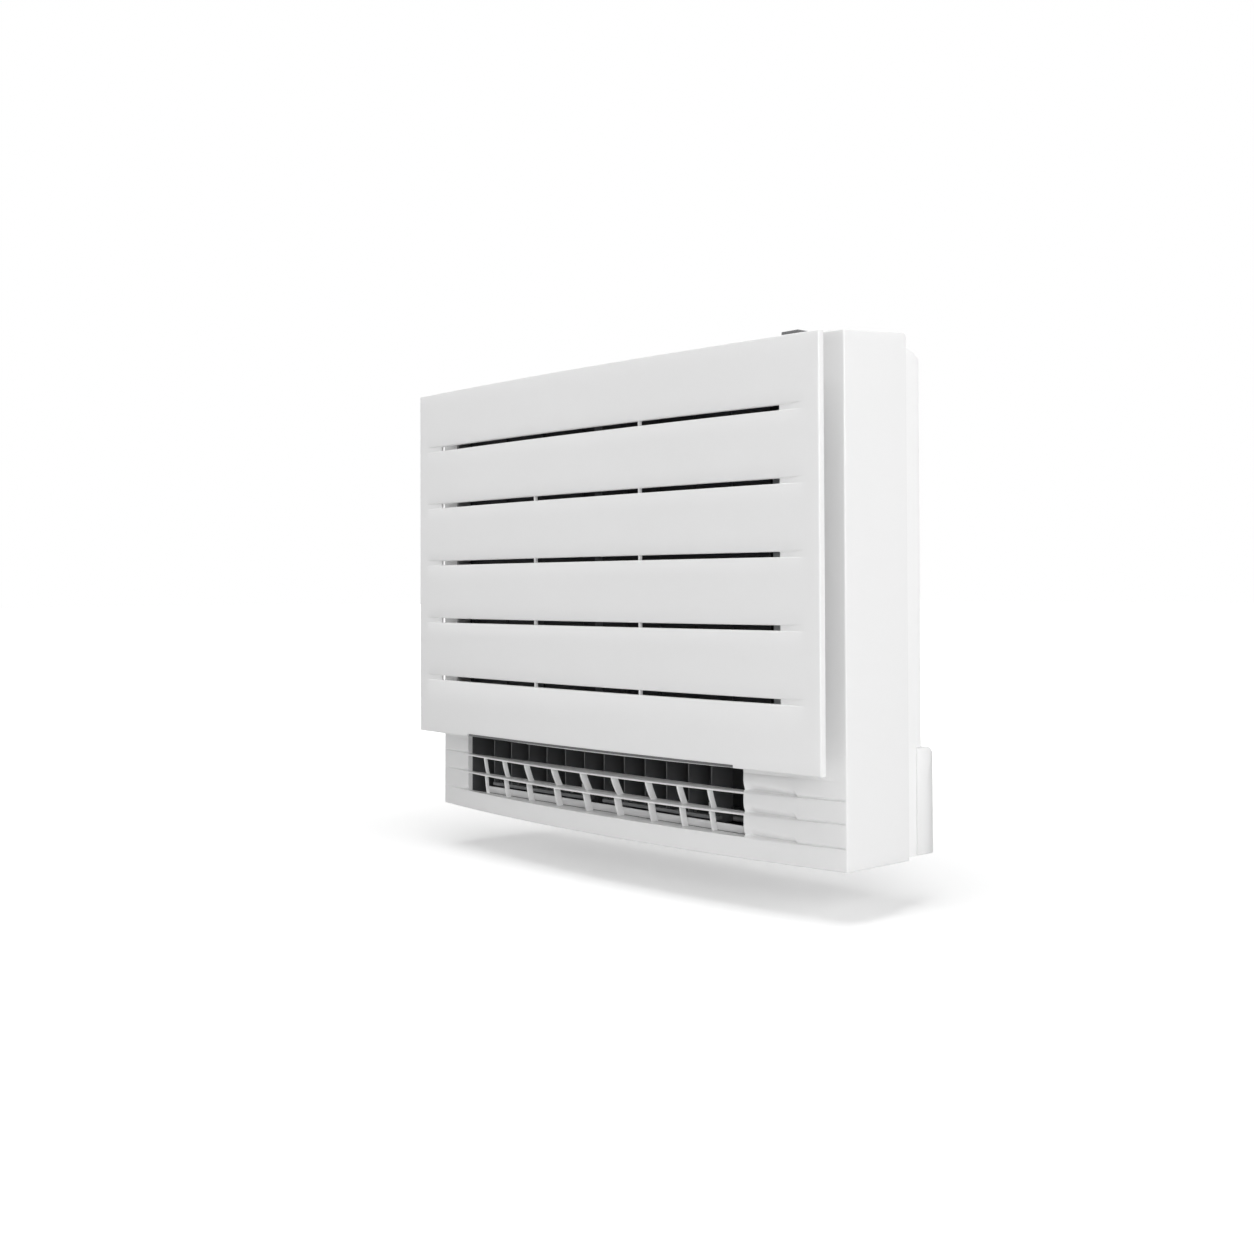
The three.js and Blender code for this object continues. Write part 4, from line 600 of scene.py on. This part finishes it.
def front_grille():
    """The shell's wall follows the plan outline up, with its creases pressed in, the outlet's edge folded
    back to the guard, and the intake left open; the top and bottom close it to the back edge."""
    px, py, nx, ny, inside, skip = grille_path()
    z, reach, deep, inset, mouth, slope = grille_rows()
    pressed = deep[:, None] * ledge_depth(px, inside)[None] * (np.abs(ny) > 0.9)
    shift = inset[:, None] + pressed
    x = px[None] - nx[None] * np.where(pressed > 0, 0, shift)
    y = py[None] - ny[None] * shift
    fold = (mouth[:, None] > 0) & inside[None]
    y = np.where(fold, MOUTH_BACK, y)
    x = np.where(fold, px[None], x)
    height = z[:, None] + reach[:, None] * between(np.abs(px), REACH)[None]
    height = height + slope[:, None] * (top_height(y) - HEIGHT)
    open_mouth = ((mouth[:-1] > 0) & (mouth[1:] > 0))[:, None] & (inside[:-1] & inside[1:])[None]
    middle_x = (px[:-1] + px[1:]) / 2
    middle_z = (z[:-1] + z[1:]) / 2
    wide = (np.abs(ny[:-1]) > 0.9) & (np.abs(middle_x) < INTAKE_HALF)
    intake = ((middle_z > INTAKE_LOW) & (middle_z < INTAKE_HIGH))[:, None] & wide[None]
    wall = sheet(x, y, height, ~(open_mouth | intake))
    edge_x = (px - nx * ROUND)[skip - 1:len(px) - skip + 1]
    edge_y = (py - ny * ROUND)[skip - 1:len(px) - skip + 1]
    edge_x[0], edge_x[-1] = -CORNER_X, CORNER_X
    outward = np.clip((np.abs(edge_x) + MOUTH_LEFT) / 69, 0, 1)[None]
    depth = MIDDLE_ROWS[:, None] + (SIDE_ROWS - MIDDLE_ROWS)[:, None] * outward
    depth[0] = edge_y
    cx = (edge_x[:-1] + edge_x[1:]) / 2
    cy = (MIDDLE_ROWS[:-1] + MIDDLE_ROWS[1:]) / 2
    hole_y = (cy > TOP_MOUTH_FRONT) & (cy < TOP_MOUTH_BACK)
    hole_x = (cx > MOUTH_LEFT) & (cx < MOUTH_RIGHT)
    top = sheet(edge_x[None], depth, top_height(depth), ~(hole_y[:, None] & hole_x[None]))
    bottom = sheet(edge_x[None], depth, 0 * depth, flip=True)
    make("front_grille_shell", [wall, top, bottom], WHITE, "casing", ["front_grille"],
         wall=2.8, crease=38)
    parts = []
    for side in (-1, 1):
        hinge = side * HINGE_X
        for cheek in (hinge - 8, hinge + 8):
            parts.append(slab(cheek, 2, -96, body_front(hinge) + 1, *HINGE_Z))
        parts.append(round_x(2.5, -91.98, 120, hinge - 7, hinge + 7))
        inner, outer = sorted((side * 296, side * 318))
        parts.append(block(inner, outer, -74.6, body_front(318.0) + 1, 558.7, 573.3))
        parts.append(block(inner, outer, -83, -74.7, 570.3, 573.3))
        parts.append(block(inner, outer, -83, -74.7, 558.7, 561.7))
    for x0 in (MOUTH_LEFT - 6, MOUTH_RIGHT):
        parts.append(block(x0, x0 + 6, -27.7, -20.7, 586.8, 593.5))
    make("front_grille_fixings", parts, WHITE, "casing", soft=0.5)
    sill = [(-64.6, 25.3), (-62.8, 25.3), (-62.8, 33.8), (-63.2, 34.2), (-64.2, 34.2), (-64.6, 33.8)]
    make("front_grille_sill", [along_x(sill, -268, 236)], WHITE, "casing", soft=0.2)
    post = block(-MULLION, MULLION, -92.6, -89.8, INTAKE_LOW, INTAKE_HIGH)
    make("front_grille_mullion", [post], DARK, "casing", soft=0.6)


# ---- outlet guard ----
def guard_bar(z):
    """A bar's section, with a half-round nose on the bowed front and a straight back edge, along X."""
    x = fill(np.array([MOUTH_LEFT + 0.2, MOUTH_RIGHT - 0.2]), 9)
    a = np.linspace(-math.pi / 2, math.pi / 2, 7)
    nose = body_front(x)[:, None] + BAR_HALF * (1 - np.cos(a))[None]
    y = np.concatenate([nose, np.full((len(x), 2), MOUTH_BACK)], 1)
    high = np.concatenate([z + BAR_HALF * np.sin(a), [z + 1.1, z - 1.1]])
    loops = np.stack([np.broadcast_to(x[:, None], y.shape), y, np.broadcast_to(high, y.shape)], -1)
    return loft(loops, flip=True)


def guard_rib(x, y, z, depth):
    """A thin upright rib: a section rounded at its front edge, carried down a path of y and z."""
    a = np.linspace(-math.pi / 2, math.pi / 2, 5)
    across = np.concatenate([RIB_HALF * np.sin(a), [RIB_HALF, -RIB_HALF]])
    back = np.concatenate([RIB_HALF * (1 - np.cos(a)), [depth, depth]])
    y = y[:, None] + back[None]
    loops = np.stack([np.broadcast_to(x + across, y.shape), y, np.broadcast_to(z[:, None], y.shape)], -1)
    return loft(loops, flip=True)


def outlet_guard():
    """Two bars, and nine ribs that slant from the upper bar's nose back to the lower bar, then drop to the
    lip."""
    parts = [guard_bar(50.9), guard_bar(75.4)]
    out = RIB_SHARES * GUARD_HALF
    down = np.linspace(0, 1, 7)
    for x in np.concatenate([GUARD_MIDDLE - out[:0:-1], GUARD_MIDDLE + out]):
        front = body_front(x)
        deep = MOUTH_BACK - front
        upper = front + 1 + (0.45 * deep - 1) * down ** 1.3
        lower = front + (0.24 + 0.22 * down ** 1.4) * deep
        parts.append(guard_rib(x, upper, 75.2 - 24.2 * down, 0.4 * deep))
        parts.append(guard_rib(x, lower, 50.6 - 25.4 * down, 0.4 * deep))
    make("outlet_guard_grid", parts, WHITE, "casing", ["outlet_guard"], crease=50)


# ---- rear casing, corner covers ----
def rear_casing():
    """A tray facing the wall: rounded at its sides, falling in a long curve at its top, with a raised spine
    and a step at each lower corner for the covers."""
    def row(z, drop=0, up=0, cut=0):
        return z, drop, up, cut

    edge, drop = arc(4.0)
    outer, back = np.concatenate([[0.0], edge]), np.concatenate([[CASING_DEPTH], drop])
    left = np.concatenate([-CASING_HALF + outer, [-STEP_X]])
    inner = fill(np.array([-STEP_X, -SPINE_HALF]), 12)
    spine = fill(np.array([-SPINE_HALF, 0.0, SPINE_HALF]), 20)
    x = np.concatenate([left, inner, spine, -inner[::-1], -left[::-1]])
    fall = np.concatenate([back, np.zeros(len(x) - 2 * len(outer)), back[::-1]])
    corner = np.abs(x) > STEP_X - 0.1
    corner[len(left)] = corner[-len(left) - 1] = False
    raised = np.zeros(len(x), bool)
    raised[len(left) + len(inner):-len(left) - len(inner)] = True
    rows = [row(0, CASING_DEPTH, cut=1), row(0, 12.3, cut=1)]
    rows += [row(z, d, cut=1) for z, d in zip(edge[:-1], drop)]
    rows += [row(4, cut=1), row(40, cut=1), row(40, up=1, cut=1), row(STEP_TOP, up=1, cut=1)]
    rows += [row(STEP_TOP, up=1)] + [row(z, up=1) for z in np.linspace(180, 540, 7)]
    rows += [row(550, up=1), row(550), row(570), row(573, 0.3), row(575, 1.6), row(580, 8.7)]
    rows += [row(581.6, 12), row(585.2, 23), row(586, 27), row(586, CASING_DEPTH)]
    z, fade, up, cut = np.array(rows, float).T
    y = CASING_Y - tray_rim(fall, fade, CASING_DEPTH) + SPINE_RISE * raised[None] * up[:, None]
    y = np.where(corner[None] & (cut[:, None] > 0), np.minimum(y, STEP_Y), y)
    face = sheet(x[None], y, z[:, None], flip=True)
    make("rear_casing_shell", [face], BACK_PAINTED_LIGHT, "casing", ["rear_casing"],
         wall=2.3, crease=40)
    flange = [block(-FLANGE_HALF, FLANGE_HALF, *FLANGE_Y, 585.2, 594.5),
              block(-FLANGE_HALF, FLANGE_HALF, *FLANGE_Y, 0.2, 3)]
    flange += [block(x0, x0 + 13, *FLANGE_Y, 3, 585.2) for x0 in (-FLANGE_HALF, FLANGE_HALF - 13)]
    make("rear_casing_flange", flange, BACK_PAINTED_LIGHT, "casing", soft=0.4)


def corner_cover(side):
    """A rounded block: its outline from the side, with the upper back edge sloped, carried along X."""
    outline = [(80, 0.2), (108.5, 0.2), (108.5, 119), (104, 124), (80, 124)]
    x0, x1 = sorted((side * 322, side * 362))
    name = "corner_cover_right" if side > 0 else "corner_cover_left"
    make(name + "_shell", [along_x(outline, x0, x1)], WHITE, "casing", [name],
         soft=1.3, crease=50)


# ---- top flap, display, button, shutter ----
def top_flap():
    """A flat strip that follows the sloping top, with a round knuckle along its back edge."""
    front, pivot, z = -66.0, -24.2, 591.3
    a = np.linspace(-0.5 * math.pi, 0.5 * math.pi, 9)
    knuckle = np.stack([pivot + 3.5 * np.cos(a), z + 3.5 * np.sin(a)], 1)
    back_top, front_top = top_height(pivot), top_height(front)
    strip = [(pivot, back_top - 0.02), (front + 1, front_top - 0.1), (front, front_top - 1.2),
             (front + 0.4, front_top - 2.9), (pivot - 3, back_top - 3.2)]
    ribs = [slab(x, 0.8, -62, -30, 584.5, 589.0) for x in np.linspace(-270, 205, 6)]
    pins = [round_x(1.7, pivot, z, x0, x0 + 8) for x0 in (-309, 236)]
    make("top_flap_strip", [along_x(np.concatenate([knuckle, strip]), *FLAP_ENDS), *ribs, *pins], WHITE,
         "flap", ["top_flap"], soft=0.3, crease=40)


def display():
    """The display's housing on the body's front, round-edged with a well for the button: rectangles up the
    outside, then circles down into the well. The round button has a dished top."""
    low, high = np.transpose([DISPLAY_X, (DISPLAY_FRONT, body_front(316.0) - 0.4)])
    corners = [low, (high[0], low[1]), high, (low[0], high[1]), low]
    rim = np.concatenate([np.linspace(a, b, 13)[:-1] for a, b in zip(corners, corners[1:])])
    middle = np.array([BUTTON_X, BUTTON_Y])
    ray = (rim - middle) / np.linalg.norm(rim - middle, axis=1, keepdims=True)
    foot, top = DISPLAY_Z
    outside = ((1.2, foot), (0.8, foot), (0.25, foot + 0.25), (0, foot + 0.8),
               (0, top - 0.8), (0.25, top - 0.25), (0.8, top), (1.2, top))
    shape = [(np.clip(rim, low + inset, high - inset), z) for inset, z in outside]
    shape += [(middle + ray * radius, z) for radius, z in WELL]
    loops = np.stack([np.concatenate([points, np.full((len(points), 1), z)], 1) for points, z in shape])
    make("display_shell", [loft(loops)], TAB_GREY, "casing", ["display_housing"],
         crease=40)
    make("button_cap", [turned(BUTTON, BUTTON_X, BUTTON_Y)], WHITE, "button", ["on_off_button"],
         crease=40)


def shutter():
    """The lower shutter: a thin plate with a rolled front edge and a tapered back edge, carried along X."""
    a = np.linspace(0.3 * math.pi, 1.7 * math.pi, 12)
    roll = np.stack([-16 + 3 * np.cos(a), 31 + 3 * np.sin(a)], 1)
    plate = [(-12, 29.8), (50, 29.9), (54, 30.6), (54, 31.4), (50, 32.1), (-12, 32.2)]
    pins = [round_x(2, -16, 31, x0, x0 + 5) for x0 in (-305.5, 235.5)]
    make("lower_shutter_blade", [along_x(np.concatenate([roll, plate]), *FLAP_ENDS), *pins], INNER,
         "shutter", ["lower_shutter"], soft=0.3, crease=50)


front_panel()
front_grille()
outlet_guard()
rear_casing()
corner_cover(-1)
corner_cover(1)
top_flap()
display()
shutter()

DRESS = {
    DARK: ["lower_duct", "bell_mouth", "fan_casing", "upper_duct"],
    VANE_DARK: ["vane_%02d" % n for n in range(1, 13) if n % 6],
    HOOK_DARK: ["vane_06", "vane_12"],
    GREY: ["link_bar_left", "link_bar_right", "panel_stopper_left", "panel_stopper_right"],
    INNER: ["shutter_motor", "top_flap_motor", "fan_wheel", "drain_pan"],
    STEEL: ["fan_motor", "electrical_box", "electrical_cover", "mounting_plate"]
    + [name for name in NODES if name.startswith("grille_screw")],
    FINS: ["heat_exchanger"],
    NET_IN_PAINTED_SHADE: ["air_filter_left", "air_filter_right"],
    CARBON: ["deodorising_filter_left", "deodorising_filter_right"],
    BOARD: ["circuit_board"],
    WHITE: ["terminal_block"],
    COPPER: ["liquid_pipe", "gas_pipe"],
    BRASS: ["liquid_flare_nut", "gas_flare_nut"],
}
for paint, names in DRESS.items():
    for name in names:
        for spot in NODES[name].material_slots:
            spot.material = paint


# ---- floor, light and camera ----
def floor():
    """A wide pale floor below the hanging unit; it glows a little for the camera so that it meets the
    white."""
    f = Finish("pale_floor")
    camera = f.node("LightPath", out="Is Camera Ray")
    matt = f.node("BsdfDiffuse", {}, {"Color": tint(0.8)})
    away = f.node("VectorMath", {"operation": "LENGTH"}, {0: f.place}, out="Value")
    rise = f.node("MapRange", {"interpolation_type": "SMOOTHSTEP"},
                  {"Value": away, 1: GLOW_FROM, 2: GLOW_TO, 3: FLOOR_GLOW, 4: FAR_GLOW})
    glow = f.node("Emission", {}, {"Color": tint(1.0), "Strength": camera * rise})
    f.output(f.node("AddShader", {}, {0: matt, 1: glow}))
    mesh = bpy.data.meshes.new("floor")
    r = 30.0
    corners = [(-r, -r, FLOOR_Z), (r, -r, FLOOR_Z), (r, r, FLOOR_Z), (-r, r, FLOOR_Z)]
    mesh.from_pydata(corners, [], [(0, 1, 2, 3)])
    mesh.materials.append(f.material)
    plane = bpy.data.objects.new("floor", mesh)
    bpy.context.scene.collection.objects.link(plane)


def surround():
    """White all round for the camera, through clear things and in reflections, softer as light."""
    world = bpy.data.worlds.new("white_room")
    bpy.context.scene.world = world
    world.use_nodes = True
    tree = world.node_tree
    tree.nodes.clear()
    path = tree.nodes.new("ShaderNodeLightPath")
    seen = path.outputs["Is Camera Ray"]
    for other in ("Is Transmission Ray", "Is Glossy Ray"):
        either = tree.nodes.new("ShaderNodeMath")
        either.operation = "MAXIMUM"
        tree.links.new(seen, either.inputs[0])
        tree.links.new(path.outputs[other], either.inputs[1])
        seen = either.outputs[0]
    level = tree.nodes.new("ShaderNodeMath")
    level.operation = "MULTIPLY_ADD"
    tree.links.new(seen, level.inputs[0])
    level.inputs[1].default_value = 1 - SKY
    level.inputs[2].default_value = SKY
    glow = tree.nodes.new("ShaderNodeBackground")
    glow.inputs["Color"].default_value = (1, 1, 1, 1)
    tree.links.new(level.outputs[0], glow.inputs["Strength"])
    out = tree.nodes.new("ShaderNodeOutputWorld")
    tree.links.new(glow.outputs[0], out.inputs["Surface"])


def stand(name, data, axes, place):
    """Sets a lamp or camera at place; the columns of axes are its own right, up and back."""
    obj = bpy.data.objects.new(name, data)
    bpy.context.scene.collection.objects.link(obj)
    obj.matrix_world = Matrix([(*row, p) for row, p in zip(axes, place)] + [(0, 0, 0, 1)])
    return obj


def lamp(name, place, aim, size, power):
    """A square soft lamp at place, turned to aim."""
    light = bpy.data.lights.new(name, "AREA")
    light.size = size
    light.energy = power
    back = np.subtract(place, aim)
    back = back / np.linalg.norm(back)
    side = np.cross((0, 0, 1) if abs(back[2]) < 0.98 else (0, 1, 0), back)
    side = side / np.linalg.norm(side)
    stand(name, light, np.stack([side, np.cross(back, side), back], 1), place)


def camera():
    """The photograph's viewpoint: turned 47.9 degrees, 0.3 m up, with a 43 mm lens on a 36 mm frame."""
    yaw, pitch, roll = (math.radians(a) for a in (47.88, 1.01, 0.21))
    ahead = np.array([-math.sin(yaw) * math.cos(pitch), math.cos(yaw) * math.cos(pitch), math.sin(pitch)])
    level = np.array([math.cos(yaw), math.sin(yaw), 0.0])
    down = np.cross(ahead, level)
    right = math.cos(roll) * level + math.sin(roll) * down
    low = math.cos(roll) * down - math.sin(roll) * level
    lens = bpy.data.cameras.new("camera")
    lens.sensor_width = 36
    lens.lens = 43.051
    lens.shift_y = -0.0517
    place = (1.42354, -1.33053, 0.30938)
    bpy.context.scene.camera = stand("camera", lens, np.stack([right, -low, -ahead], 1), place)


floor()
surround()
lamp("right_softbox", (3.4, 0.4, 1.5), (0, 0, 0.35), 1.8, 29)
lamp("overhead_softbox", (0.4, -0.9, 4.3), (0, 0, 0.2), 3.0, 130)
lamp("front_softbox", (3.1, -2.1, 1.0), (0, 0, 0.3), 1.8, 42)
lamp("left_softbox", (-2.9, -1.9, 0.9), (0, 0, 0.3), 1.8, 10)
camera()
bpy.context.scene.view_settings.view_transform = "Standard"
